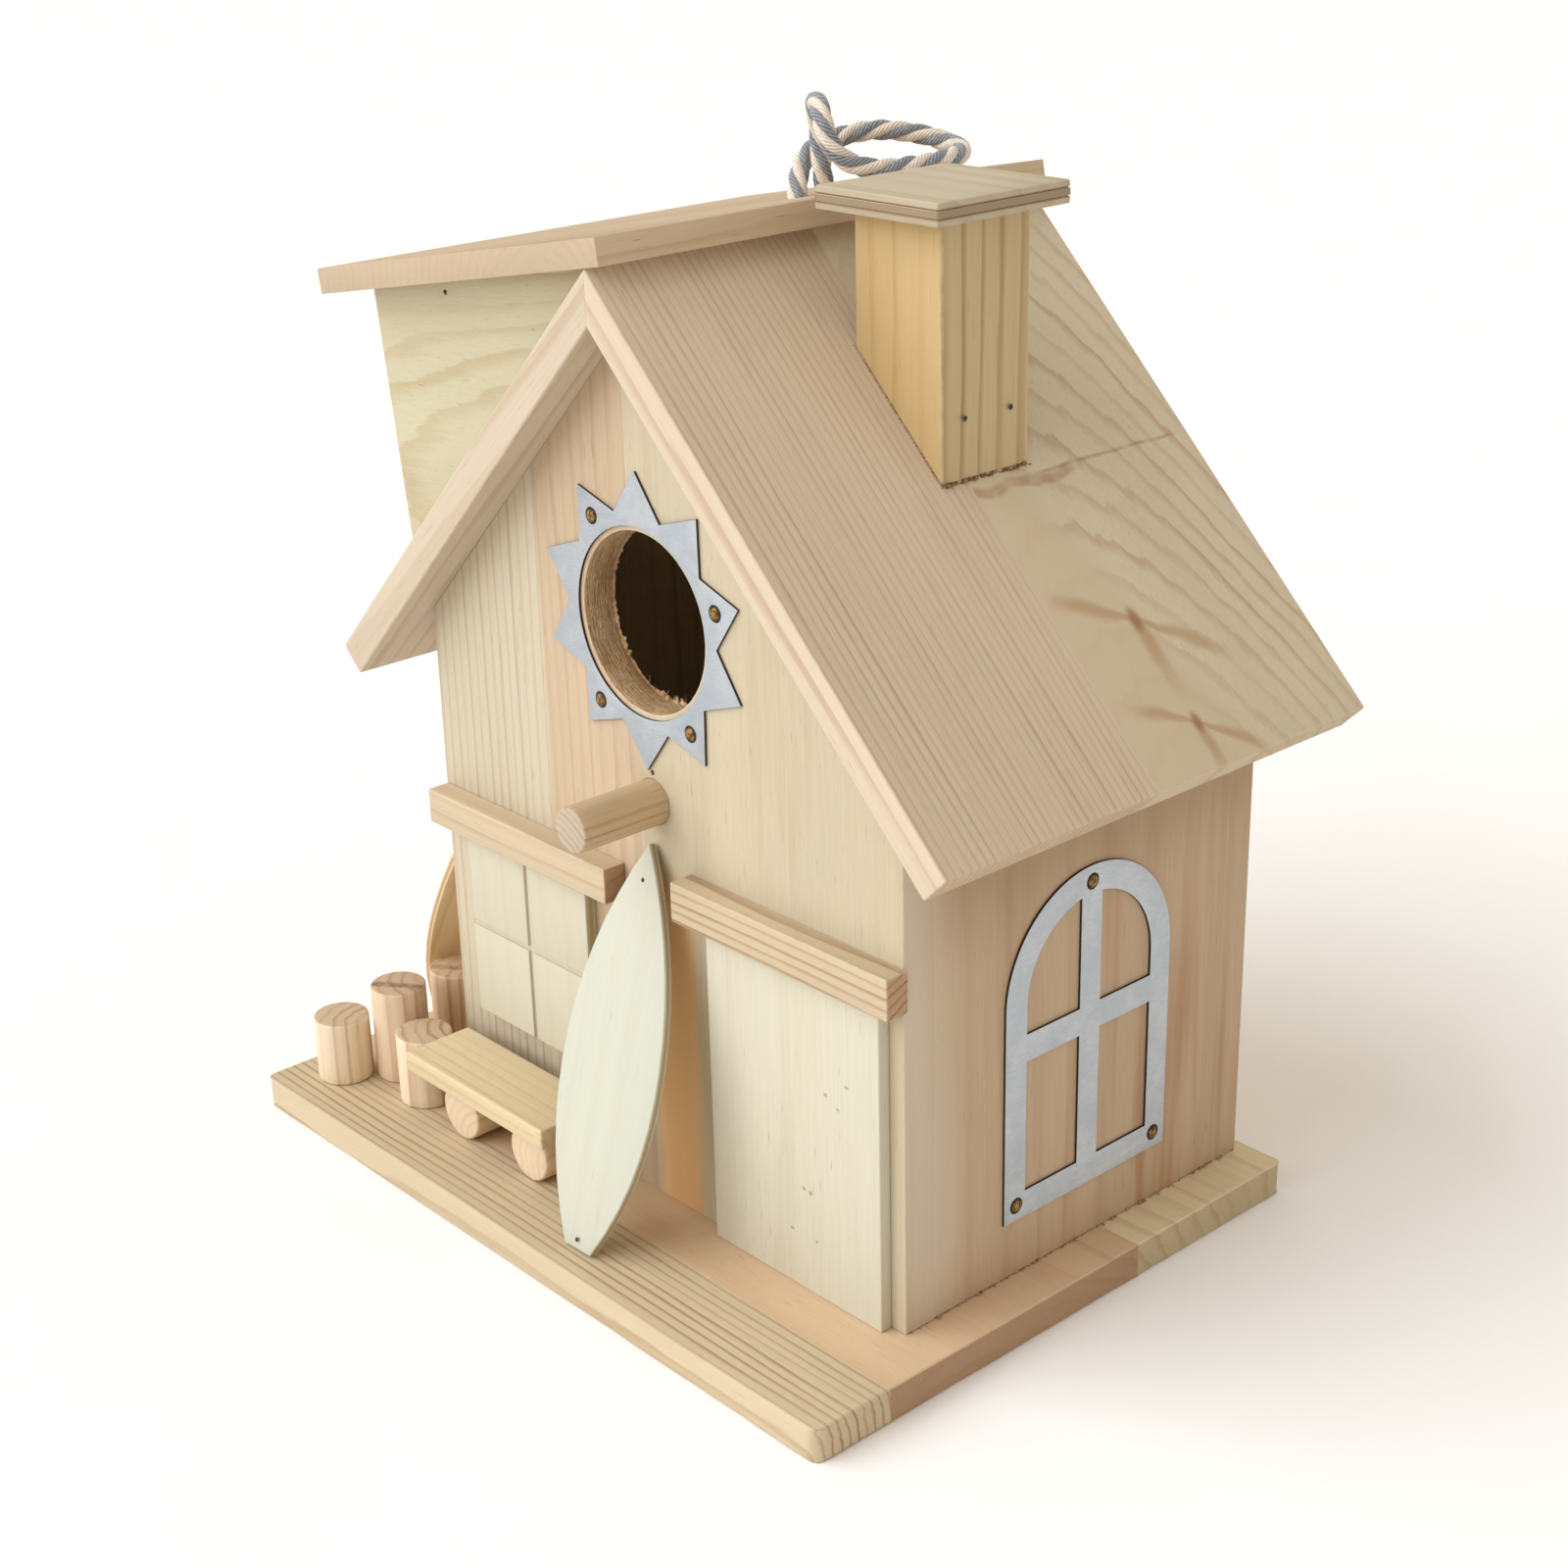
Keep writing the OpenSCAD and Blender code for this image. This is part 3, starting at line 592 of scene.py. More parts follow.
def slab(node, material, cell_mm=4.5, wobble_mm=0.16, corner=3.2):
    """A deck board: a gridded block whose faces and corners waver a little, inwards only."""
    low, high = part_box(node)
    size = high - low
    deck_low, deck_high = deck_box()
    work = bmesh.new()
    bmesh.ops.create_cube(work, size=1.0)
    for vert in work.verts:
        vert.co = Vector([(low[k] + high[k]) / 2 + vert.co[k] * size[k] for k in range(3)])
    for k in range(3):
        cuts = max(0, round(size[k] / (cell_mm * MM)) - 1)
        runs = [e for e in work.edges
                if abs(e.verts[0].co[k] - e.verts[1].co[k]) > size[k] * 0.9]
        if cuts:
            bmesh.ops.subdivide_edges(work, edges=runs, cuts=cuts, use_grid_fill=True)
    bmesh.ops.recalc_face_normals(work, faces=work.faces)
    weight = work.edges.layers.float.new("bevel_weight_edge")
    for edge in work.edges:
        if edge.calc_face_angle(0) > 1:
            seam = all(low[1] > deck_low[1] + 1e-6 and abs(v.co[1] - low[1]) < 1e-6
                       or high[1] < deck_high[1] - 1e-6 and abs(v.co[1] - high[1]) < 1e-6
                       for v in edge.verts)
            upright = abs(edge.verts[0].co.z - edge.verts[1].co.z) > size.z * 0.3
            edge[weight] = 0.04 if seam else 1.0 if upright else 0.27
    for vert in work.verts:
        spot = vert.co.copy()
        for k in range(3):
            wave = noise.noise(spot / (14 * MM) + Vector((k * 7.3, 0, 0)))
            chip = max(0.0, noise.noise(spot / (5 * MM)) - 0.1)
            inward = wobble_mm * (0.5 + 0.5 * wave + (1.5 * chip if k < 2 else 0))
            if spot[k] < deck_low[k] + 1e-6:
                vert.co[k] += inward * MM
            elif spot[k] > deck_high[k] - 1e-6 and k < 2:
                vert.co[k] -= inward * MM
    piece = new_piece(node + "_sanded", work)
    bevel_by_weight(piece, corner, 3)
    return settle(piece, [node], [material], node)


def deck_box():
    boxes = [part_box(n) for n in ("deck_front_strip", "deck_middle_board", "deck_back_board")]
    low = Vector([min(b[0][k] for b in boxes) for k in range(3)])
    high = Vector([max(b[1][k] for b in boxes) for k in range(3)])
    return low, high


def dowel(node, material, axis, corner=0.5, sides=96, rings=10):
    """A turned rod along one axis, with eased ends and a slightly uneven side."""
    low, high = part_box(node)
    size = high - low
    length = size[axis]
    radius = size[(axis + 1) % 3] / 2
    middle = (low + high) / 2
    along = Vector([1.0 if k == axis else 0.0 for k in range(3)])
    turn = UP.rotation_difference(along).to_matrix().to_4x4()
    ease = corner * MM
    profile = [(0.0, 0.0), (radius - ease, 0.0)]
    profile += [(radius - ease + ease * math.sin(a), ease - ease * math.cos(a))
                for a in (math.radians(30 * k) for k in range(1, 4))]
    profile += [(radius, ease + (length - 2 * ease) * k / rings) for k in range(1, rings)]
    profile += [(radius - ease + ease * math.cos(a), length - ease + ease * math.sin(a))
                for a in (math.radians(30 * k) for k in range(0, 4))]
    profile += [(0.0, length)]
    work = bmesh.new()
    loops = []
    for r, h in profile:
        if r == 0.0:
            loops.append([work.verts.new((0, 0, h - length / 2))])
            continue
        loop = []
        for k in range(sides):
            a = 2 * math.pi * k / sides
            spot = Vector((math.cos(a) * 3, math.sin(a) * 3, h / (9 * MM) + seed_of(node)))
            uneven = 1 - 0.012 * (0.5 + 0.5 * noise.noise(spot))
            loop.append(work.verts.new((r * uneven * math.cos(a), r * uneven * math.sin(a),
                                        h - length / 2)))
        loops.append(loop)
    for lower, upper in zip(loops, loops[1:]):
        for k in range(sides):
            a, b = lower[k % len(lower)], lower[(k + 1) % len(lower)]
            c, d = upper[(k + 1) % len(upper)], upper[k % len(upper)]
            work.faces.new([v for v in dict.fromkeys((a, b, c, d))])
    bmesh.ops.recalc_face_normals(work, faces=work.faces)
    work.transform(Matrix.Translation(middle) @ turn)
    piece = new_piece(node + "_turned", work)
    piece.data.shade_smooth()
    piece.data.set_sharp_from_angle(angle=math.radians(40))
    return settle(piece, [node], [material], node)


# ---- Rope ----

ROPE_DIAMETER = 4 * MM
STRANDS = 4
STRAND_OFFSET = 1.02 * MM
STRAND_RADIUS = 1.17 * MM
ROPE_LAY = 17.8 * MM
ROPE_ROUTE = [at(*p) for p in (
    (-17.5, 70, 203.5), (-18.5, 70, 209), (-18.5, 69, 215.5), (-19.5, 69.5, 223),
    (-17.5, 66.5, 228), (-13, 63, 230), (-8, 59.5, 227.5), (-5.5, 58.5, 222.5),
    (-3, 61, 218), (1, 67, 216), (4, 75.5, 216.5), (5, 85, 217),
    (0, 94, 217), (-8, 96.5, 218), (-14.5, 92, 220), (-19.5, 85, 221),
    (-24, 79, 219.5), (-25, 69.5, 217.5), (-21, 64, 210.5), (-19.5, 63, 208),
    (-18, 62.5, 203.5),
)]


def smooth_route(route, per_point):
    """Points along the smooth curve that the route's points pull on."""
    pulled = [2 * route[0] - route[1], *route, 2 * route[-1] - route[-2]]
    points = []
    for i in range(len(route) - 1):
        for k in range(per_point):
            t = k / per_point
            weights = ((1 - t) ** 3, 3 * t ** 3 - 6 * t * t + 4,
                       -3 * t ** 3 + 3 * t * t + 3 * t + 1, t ** 3)
            points.append(sum((w * p for w, p in zip(weights, pulled[i:i + 4])), Vector()) / 6)
    return [*points, route[-1]]


def lay_rope(name, points, sides=12):
    """Strands wound left-handed round a line of points, every second one blue-grey."""
    ahead = [(points[min(i + 1, len(points) - 1)] - points[max(i - 1, 0)]).normalized()
             for i in range(len(points))]
    arm = ahead[0].orthogonal().normalized()
    arms, travelled = [arm], [0.0]
    for i in range(1, len(points)):
        arm = (arm - ahead[i] * arm.dot(ahead[i])).normalized()
        arms.append(arm)
        travelled.append(travelled[-1] + (points[i] - points[i - 1]).length)
    work = bmesh.new()
    uv = work.loops.layers.uv.new("winding")
    for strand in range(STRANDS):
        loops = []
        for point, tangent, arm, run in zip(points, ahead, arms, travelled):
            side = tangent.cross(arm)
            angle = 2 * math.pi * (strand / STRANDS - run / ROPE_LAY)
            out = arm * math.cos(angle) + side * math.sin(angle)
            around = tangent.cross(out)
            swell = 1 + 0.09 * noise.noise(point / (2.5 * MM) + Vector((strand * 5.1, 0, 0)))
            centre = point + out * STRAND_OFFSET
            loops.append([work.verts.new(centre + STRAND_RADIUS * swell
                                         * (out * math.cos(b) + around * math.sin(b)))
                          for b in (2 * math.pi * k / sides for k in range(sides))])
        for i in range(len(loops) - 1):
            for k in range(sides):
                n = (k + 1) % sides
                face = work.faces.new((loops[i][k], loops[i][n], loops[i + 1][n], loops[i + 1][k]))
                face.material_index = strand % 2
                corners = ((k, i), (k + 1, i), (k + 1, i + 1), (k, i + 1))
                for corner, (turn, row) in zip(face.loops, corners):
                    corner[uv].uv = (turn / sides, travelled[row] / (4 * MM))
        for cap in (reversed(loops[0]), loops[-1]):
            work.faces.new(list(cap)).material_index = strand % 2
    bmesh.ops.recalc_face_normals(work, faces=work.faces)
    piece = new_piece(name, work)
    piece.data.shade_smooth()
    return piece


def knot_route(node, count=90):
    """A three-lobed knot drawn up small enough to fill its node's box."""
    low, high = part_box(node)
    middle, size = (low + high) / 2, high - low
    room = [s / 2 - ROPE_DIAMETER / 2 for s in size]
    points = []
    for k in range(count + 1):
        t = 2 * math.pi * k / count * 0.97
        spot = (math.sin(t) + 2 * math.sin(2 * t), math.cos(t) - 2 * math.cos(2 * t), -math.sin(3 * t))
        points.append(middle + Vector((spot[0] * room[0] / 3, spot[1] * room[1] / 3,
                                       spot[2] * room[2])))
    return points


cream_yarn = yarn("cream_cotton", "FFF6EA", "DDCDBC")
blue_yarn = yarn("blue_grey_cotton", "A9AEB6", "6C717B")
rope_line = smooth_route(ROPE_ROUTE, 8)
rope = settle(lay_rope("twisted_hanging_loop", rope_line), ["hanging_rope"],
              [blue_yarn, cream_yarn], "hanging_rope")
knot = settle(lay_rope("knot_under_dormer_board", knot_route("rope_knot")), ["rope_knot"],
              [blue_yarn, cream_yarn], "rope_knot")


# ---- What repeats: pins, glue beads, splinters and rope fuzz ----

def new_maker(name, inputs):
    """A geometry tree with named inputs, its graph, what it is given, and its closing call."""
    sockets = [("Geometry", "Geometry", None), *inputs]
    g, given, result = new_group(name, "GeometryNodeTree", sockets, [("Geometry", "Geometry")])

    def close(instances, material):
        real = g.call("GeometryNodeRealizeInstances", Geometry=instances)
        done = g.call("GeometryNodeSetMaterial", Geometry=real[0], Material=material)
        g.feed(result["Geometry"], done[0])
    return g, given, close


def grow(piece, maker_name, **values):
    """Runs a maker on a piece and keeps its result as a plain mesh."""
    maker = bpy.data.node_groups[maker_name]
    modifier = piece.modifiers.new(maker_name, "NODES")
    modifier.node_group = maker
    for item in maker.interface.items_tree:
        key = item.name.lower().replace(" ", "_")
        if item.item_type == "SOCKET" and item.in_out == "INPUT" and key in values:
            modifier[item.identifier] = values[key]
    apply_modifiers(piece)


def random_vector(g, low, high, seed):
    made = g.node("FunctionNodeRandomValue", data_type="FLOAT_VECTOR")
    for socket, value in zip([s for s in made.inputs if s.type == "VECTOR"], (low, high)):
        g.feed(socket, value)
    g.feed(made.inputs["Seed"], seed)
    return next(s for s in made.outputs if s.type == "VECTOR")


def make_pin_maker():
    """A domed head at each point, turned to face one way, with a touch of tilt."""
    g, given, close = new_maker("pin heads", [
        ("Head Radius", "Float", 0.0015), ("Head Height", "Float", 0.0008),
        ("Facing", "Rotation", None), ("Tilt", "Float", 0.05), ("Seed", "Int", 1),
        ("Metal", "Material", None)])
    ball = g.call("GeometryNodeMeshUVSphere", Segments=28, Rings=14, Radius=1.0)
    size = g.call("ShaderNodeCombineXYZ", X=given["Head Radius"], Y=given["Head Radius"],
                  Z=given["Head Height"])
    head = g.call("GeometryNodeTransform", Geometry=ball["Mesh"], Scale=size[0])
    smooth = g.call("GeometryNodeSetShadeSmooth", Geometry=head[0])
    tilt = g.vector("SCALE", random_vector(g, (-1, -1, -1), (1, 1, 1), given["Seed"]),
                    scale=given["Tilt"])
    tipped = g.call("FunctionNodeEulerToRotation", Euler=tilt)
    turned = g.call("FunctionNodeRotateRotation", Rotation=tipped[0], Rotate_By=given["Facing"])
    placed = g.call("GeometryNodeInstanceOnPoints", Points=given["Geometry"], Instance=smooth[0],
                    Rotation=turned[0])
    close(placed[0], given["Metal"])


def make_bead_maker():
    """Uneven beads along a line of edges."""
    g, given, close = new_maker("glue beads", [
        ("Spacing", "Float", 0.001), ("Bead Radius", "Float", 0.0004), ("Stray", "Float", 0.0002),
        ("Seed", "Int", 1), ("Glue", "Material", None)])
    line = g.call("GeometryNodeMeshToCurve", Mesh=given["Geometry"])
    spaced = g.node("GeometryNodeResampleCurve", mode="LENGTH")
    g.feed(spaced.inputs["Curve"], line[0])
    g.feed(spaced.inputs["Length"], given["Spacing"])
    stray = g.vector("SCALE", random_vector(g, (-1, -1, -1), (1, 1, 1), given["Seed"]),
                     scale=given["Stray"])
    points = g.call("GeometryNodeSetPosition", Geometry=spaced.outputs[0], Offset=stray)
    ball = g.call("GeometryNodeMeshIcoSphere", Radius=1.0, Subdivisions=2)
    smooth = g.call("GeometryNodeSetShadeSmooth", Geometry=ball["Mesh"])
    scale = g.vector("SCALE", random_vector(g, (0.2, 0.2, 0.15), (1.2, 1.2, 0.9), given["Seed"]),
                     scale=given["Bead Radius"])
    placed = g.call("GeometryNodeInstanceOnPoints", Points=points[0], Instance=smooth[0], Scale=scale)
    close(placed[0], given["Glue"])


def make_hair_maker():
    """Fine bent hairs scattered over a surface."""
    g, given, close = new_maker("stray hairs", [
        ("Density", "Float", 100000.0), ("Length", "Float", 0.001), ("Thickness", "Float", 0.00004),
        ("Lean", "Float", 1.0), ("Seed", "Int", 1), ("Fibre", "Material", None)])
    scattered = g.call("GeometryNodeDistributePointsOnFaces", {"distribute_method": "RANDOM"},
                       Mesh=given["Geometry"], Density=given["Density"], Seed=given["Seed"])
    line = g.call("GeometryNodeCurveQuadraticBezier", Resolution=4, Start=(0, 0, -0.1),
                  Middle=(0.0, 0, 0.6), End=(0.55, 0.1, 1.0))
    ring = g.call("GeometryNodeCurvePrimitiveCircle", Resolution=3, Radius=1.0)
    thin = g.math("DIVIDE", given["Thickness"], given["Length"])
    thin_ring = g.call("GeometryNodeTransform", Geometry=ring["Curve"],
                       Scale=g.call("ShaderNodeCombineXYZ", X=thin, Y=thin, Z=thin)[0])
    hair = g.call("GeometryNodeCurveToMesh", Curve=line[0], Profile_Curve=thin_ring[0],
                  Fill_Caps=True)
    tip = g.vector("SCALE", random_vector(g, (-1, -1, -3), (1, 1, 3), given["Seed"]),
                   scale=given["Lean"])
    tipped = g.call("FunctionNodeEulerToRotation", Euler=tip)
    turned = g.call("FunctionNodeRotateRotation", {"rotation_space": "LOCAL"},
                    Rotation=scattered["Rotation"], Rotate_By=tipped[0])
    size = g.vector("SCALE", random_vector(g, (0.5, 0.5, 0.5), (1.2, 1.2, 1.2), given["Seed"]),
                    scale=given["Length"])
    placed = g.call("GeometryNodeInstanceOnPoints", Points=scattered["Points"], Instance=hair[0],
                    Rotation=turned[0], Scale=size)
    close(placed[0], given["Fibre"])


make_pin_maker()
make_bead_maker()
make_hair_maker()

brass = pin_metal("dull_brass", "A8854A", "5A4220", 0.7, 0.38)
# Painted shade: a dark metal for the flat ring that stands for the shade in the gap round each plate
# pin.
gap_shade_metal = pin_metal("tarnished_rim", "3A2E22", "1E1610", 0.3, 0.6)
nail_steel = pin_metal("dull_nail_steel", "6B665E", "3B342C", 0.6, 0.5)
screw_zinc = pin_metal("zinc_screw", "B9BBBC", "85888A", 0.8, 0.32)
glue = dried_glue("dusty_glue", "C9A97C", "8A6238")
dark_glue = dried_glue("dark_glue", "A07A4C", "54391F")


def solids_of(node):
    """The separate solids of a CAD node, each as a list of its points."""
    work = bmesh.new()
    work.from_mesh(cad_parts[node].data)
    bmesh.ops.remove_doubles(work, verts=work.verts, dist=2e-6)
    left, groups = set(work.verts), []
    while left:
        stack, group = [left.pop()], []
        while stack:
            vert = stack.pop()
            group.append(vert.co.copy())
            for edge in vert.link_edges:
                other = edge.other_vert(vert)
                if other in left:
                    left.remove(other)
                    stack.append(other)
        groups.append(group)
    work.free()
    return groups


def heads_of(node, outward, reach_mm=0.5):
    """The middle of each nail's outer end."""
    spots = []
    for group in solids_of(node):
        top = max(p.dot(outward) for p in group)
        end = [p for p in group if p.dot(outward) > top - reach_mm * MM]
        low = Vector([min(p[k] for p in end) for k in range(3)])
        high = Vector([max(p[k] for p in end) for k in range(3)])
        middle = (low + high) / 2
        spots.append(middle + outward * (top - middle.dot(outward)))
    return spots


def points_piece(name, points, edges=()):
    mesh = bpy.data.meshes.new(name)
    mesh.from_pydata(points, edges, [])
    return new_object(name, mesh)


def pins(name, spots, outward, metal, head_radius, head_height, seed=1, tilt=0.05):
    piece = points_piece(name, spots)
    grow(piece, "pin heads", head_radius=head_radius * MM, head_height=head_height * MM,
         facing=UP.rotation_difference(outward).to_euler(), seed=seed, tilt=tilt, metal=metal)
    return piece


def join(name, pieces):
    """Joins plain meshes into one piece, keeping their materials."""
    work = bmesh.new()
    materials = []
    for piece in pieces:
        start = len(work.faces)
        work.from_mesh(piece.data)
        work.faces.ensure_lookup_table()
        names = [m for m in piece.data.materials]
        for face in list(work.faces)[start:]:
            material = names[face.material_index]
            if material not in materials:
                materials.append(material)
            face.material_index = materials.index(material)
        bpy.data.objects.remove(piece)
    made = new_piece(name, work)
    return made, materials


def plate_nails(node, outward, seed):
    """Brass pins, each sunk in a dark ring on its metal plate: the ring is painted shade of the gap
    round the pin in its hole.
    """
    spots = heads_of(node, outward)
    flat = [p - outward * 0.7 * MM for p in spots]
    # The dark rings are painted shade of the gaps round the pins.
    gap_shade_rings = pins(node + "_rims", flat, outward, gap_shade_metal, 1.85, 0.16, seed, 0.0)
    heads = pins(node + "_heads", flat, outward, brass, 1.35, 0.68, seed)
    piece, materials = join(node + "_pins", [gap_shade_rings, heads])
    piece.data.shade_smooth()
    return settle(piece, [node], materials, node)


def flush_brads(node, name, outward, seed):
    """Small steel heads level with the wood."""
    heads = pins(name, heads_of(node, outward), outward, nail_steel, 0.6, 0.2, seed)
    settle(heads, [node], [nail_steel], node)


plate_nails("sun_plate_nails", -BACK, 3)
plate_nails("arched_window_nails", RIGHT, 5)


# ---- Deck ----

deck_woods = (
    ("deck_front_strip", timber(
        "striped_deck_pine", UP, RIGHT, middle_of("deck_front_strip"), "C9B799", "92703F",
        heart=(70, 14), ring_gap=2.2, ring_strength=0.85, late_share=0.4, wander=0.9,
        end="D8BE9A", end_share=0.1, blotch=0.14, flecks=0.15)),
    ("deck_middle_board", timber(
        "plain_deck_pine", UP, RIGHT, middle_of("deck_middle_board"), "D3B796", "B68962",
        heart=(12, 95), lean=(0.01, 0.03), ring_gap=4.0, ring_strength=0.28, wander=4.0,
        end="8A6244", end_share=0.6, blotch=0.1)),
    ("deck_back_board", timber(
        "broad_striped_pine", UP, RIGHT, middle_of("deck_back_board"), "E2D2AF", "BA996C",
        heart=(55, 22), ring_gap=5.5, ring_strength=0.42, wander=3.0, end="8E7A56")),
)
for node, material in deck_woods:
    slab(node, material)


# ---- House box ----

SEAMS = (-34, -3)
BORE_RADIUS = 19.2
DOOR_SPECKS = ((61.8, 52.8), (55.7, 48.7), (59.2, 46.7), (48.6, 24.2), (50.6, 23.9),
               (44.8, 13.1), (52.2, 13.0))
KNOTS = (((101.7, 68.5, 0), 1.0), ((125.9, 68, 0), 0.8))
CAP_STEPS = ((0.0, 0.35), (0.03, 0.1), (0.28, 0.05), (0.3, 0.3), (0.34, 0.3), (0.36, 0.0),
             (0.64, 0.0), (0.66, 0.3), (0.7, 0.3), (0.72, 0.06), (0.96, 0.1), (1.0, 0.35))
BORE = at(0.5, 0, 134)


def amber_strip(g, color, roughness):
    """A warmer strip of the right board, in the front surfboard's shade. It stands in for light
    that the boards round it would throw there."""
    place = turned_place(g, (RIGHT, BACK, UP), at(0, 0, 0))
    across, _, up = g.split(place)
    sway = g.math("SUBTRACT", g.noise(place, (0.1, 0.1, 0.02), 2.0), 0.5)
    across = g.add(across, g.times(sway, 4.0))
    sides = g.times(g.ramp(across, -4.0, 1.0), g.ramp(across, 10.0, 15.0, 1.0, 0.0))
    tall = g.ramp(up, 70.0, 84.0, 1.0, 0.0)
    return g.mix(g.times(sides, tall, 0.75), color, paint("F0BC7C")), roughness


wall_woods = (
    timber("striped_wall_pine", -BACK, UP, at(-55, 4, 100), "C6BBA3", "A38562",
           heart=(48, 12), ring_gap=2.9, ring_strength=0.6, late_share=0.45, wander=1.2,
           flecks=0.25),
    timber("pinkish_wall_pine", -BACK, UP, at(-18, 4, 100), "C2AC90", "A68261",
           heart=(30, 30), lean=(0.004, 0.01), ring_gap=2.6, ring_strength=0.4, late_share=0.5,
           wander=2.0, flecks=0.25),
    timber("plain_wall_pine", -BACK, UP, at(35, 4, 100), "C2B69B", "AB936F",
           heart=(10, 80), lean=(0.004, 0.03), ring_gap=7.0, ring_strength=0.35, late_share=0.4,
           wander=5.0, flecks=0.2, marks=amber_strip),
)


def pale_corner_and_eave_shade(g, color, roughness):
    """The side wall turns pale and grey towards the house's front corner, has darker streaks that are
    strongest low down, and carries painted shade under the roof's eave.
    """
    place = turned_place(g, (BACK, UP, RIGHT), at(0, 0, 0))
    across, up, _ = g.split(place)
    sway = g.math("SUBTRACT", g.noise(place, (0.06, 0.01, 0.06), 2.0), 0.5)
    pale = g.ramp(g.add(across, g.times(sway, 16.0)), 3.0, 17.0, 1.0, 0.0)
    streak = g.ramp(g.noise(place, (0.13, 0.007, 0.13), 2.0), 0.5, 0.72)
    low = g.ramp(up, 5.0, 90.0, 0.75, 0.3)
    color = g.mix(g.times(streak, low), color, paint("A06E42"))
    # Painted shade: darker towards the top, under the roof's eave.
    color = g.mix(g.ramp(up, 72.0, 98.0, 0.0, 0.4), color, paint("90704E"))
    return g.mix(g.times(pale, 0.75), color, paint("CFC3AE")), roughness


shaded_pine = timber("side_wall_pine", RIGHT, UP, middle_of("right_wall"), "C2A98B", "A17750",
                     heart=(60, 44), lean=(0.01, 0.02), ring_gap=9.0, ring_strength=0.22,
                     wander=7.0, blotch=0.10, marks=pale_corner_and_eave_shade)
left_pine = timber("left_wall_pine", -RIGHT, UP, middle_of("left_wall"), "E6CFAB", "C39A6A",
                   heart=(30, 50), ring_gap=4.5, ring_strength=0.4, wander=4.0)
back_pine = timber("back_wall_pine", BACK, UP, middle_of("back_wall"), "E8D3AF", "C49C6C",
                   heart=(12, 46), lean=(0.01, 0.06), ring_gap=4.6, ring_strength=0.45, wander=5.0)
torn_bore = sawn_bore("sawn_hole")


WALL_JOINTS = [(at(0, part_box("front_wall")[1].y / MM - HOUSE.y / MM, 0), BACK),
               (at(0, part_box("back_wall")[0].y / MM - HOUSE.y / MM, 0), BACK)]


def front_wall():
    work = cad_copy("front_wall")
    refine_round(work, BORE, BACK, BORE_RADIUS)
    for seam in SEAMS:
        bmesh.ops.bisect_plane(work, geom=work.verts[:] + work.edges[:] + work.faces[:],
                               plane_co=at(seam, 0, 0), plane_no=RIGHT, dist=1e-7)
    piece = new_piece("front_wall_sanded", work)
    round_corners(piece, 0.5, 3, 40, [WALL_JOINTS[0]])
    for face in piece.data.polygons:
        arm = face.center - BORE
        inside = Vector((arm.x, 0, arm.z)).length < (BORE_RADIUS + 0.3) * MM
        bored = inside and abs(face.normal.y) < 0.6
        face.material_index = 3 if bored else sum(face.center.x > at(k, 0, 0).x for k in SEAMS)
        if face.normal.x > 0.8 and not inside:
            face.material_index = 4
    return settle(piece, ["front_wall"], [*wall_woods, torn_bore, shaded_pine], "front_wall")


front_wall()
board("right_wall", shaded_pine, 0.6, joints=WALL_JOINTS)
board("left_wall", left_pine, 0.6, joints=WALL_JOINTS)
board("back_wall", back_pine, 0.5, joints=[WALL_JOINTS[1]], ends=shaded_pine)


# ---- Roof ----

def roof_marks(g, color, roughness):
    """Two knots with their flames, and the glue that squeezed out under the chimney."""
    spot = turned_place(g, (ROOF_DOWN, BACK, ROOF_NORMAL), RIDGE)
    down, along, _ = g.split(spot)
    slant = g.math("SUBTRACT", along, g.times(down, 0.28))
    color = g.mix(g.ramp(slant, 38.0, 48.0, 0.85, 0.0), color, paint("CCBC9F"))
    for centre, size in KNOTS:
        knot_marks = g.group("knot", place=spot, centre=centre, size=size)
        color = g.mix(g.times(knot_marks["Flame"], 0.55), color, paint("AC8254"))
        color = g.mix(g.times(knot_marks["Core"], 0.6), color, paint("8A5732"))
    squeezed = g.group("smear", place=g.vector("SUBTRACT", spot, (66.5, 0, 0)), half_width=1.5,
                       start=47, stop=78, sway=1.4)
    ruled = g.group("smear", place=g.vector("SUBTRACT", spot, (65.4, 0, 0)), half_width=0.45,
                    start=68, stop=110, sway=0.3)
    color = g.mix(g.times(squeezed["Mask"], 0.55), color, paint("9C764C"))
    color = g.mix(g.times(ruled["Mask"], 0.5), color, paint("8A7058"))
    return color, g.math("SUBTRACT", roughness, g.times(squeezed["Mask"], 0.25))


fine_roof_pine = timber("fine_striped_roof_pine", ROOF_NORMAL, ROOF_DOWN,
                        middle_of("roof_right_front_board"), "D1C0A8", "AB8469",
                        heart=(85, 20), ring_gap=1.9, ring_strength=0.6, late_share=0.45,
                        wander=1.2, end="B69C7A")
knotty_roof_pine = timber("knotty_roof_pine", ROOF_NORMAL, ROOF_DOWN,
                          middle_of("roof_right_back_board"), "D2C5AA", "B28F68",
                          heart=(21, 49), lean=(0, 0.28), ring_gap=3.6, ring_strength=0.6,
                          late_share=0.4, wander=3.0, marks=roof_marks)
left_roof_pine = timber("left_roof_pine", LEFT_NORMAL, LEFT_DOWN, middle_of("roof_left_panel"),
                        "C9BAA4", "AB8C66", heart=(20, 52), lean=(0.01, 0.05), ring_gap=5.0,
                        ring_strength=0.45, wander=5.0)
ROOF_JOINTS = [(roof_low, BACK), (RIDGE, RIGHT)]
board("roof_right_front_board", fine_roof_pine, 0.5, joints=ROOF_JOINTS)
board("roof_right_back_board", knotty_roof_pine, 0.5, joints=ROOF_JOINTS)
board("roof_left_panel", left_roof_pine, 0.5, joints=ROOF_JOINTS)


# ---- Dormer ----

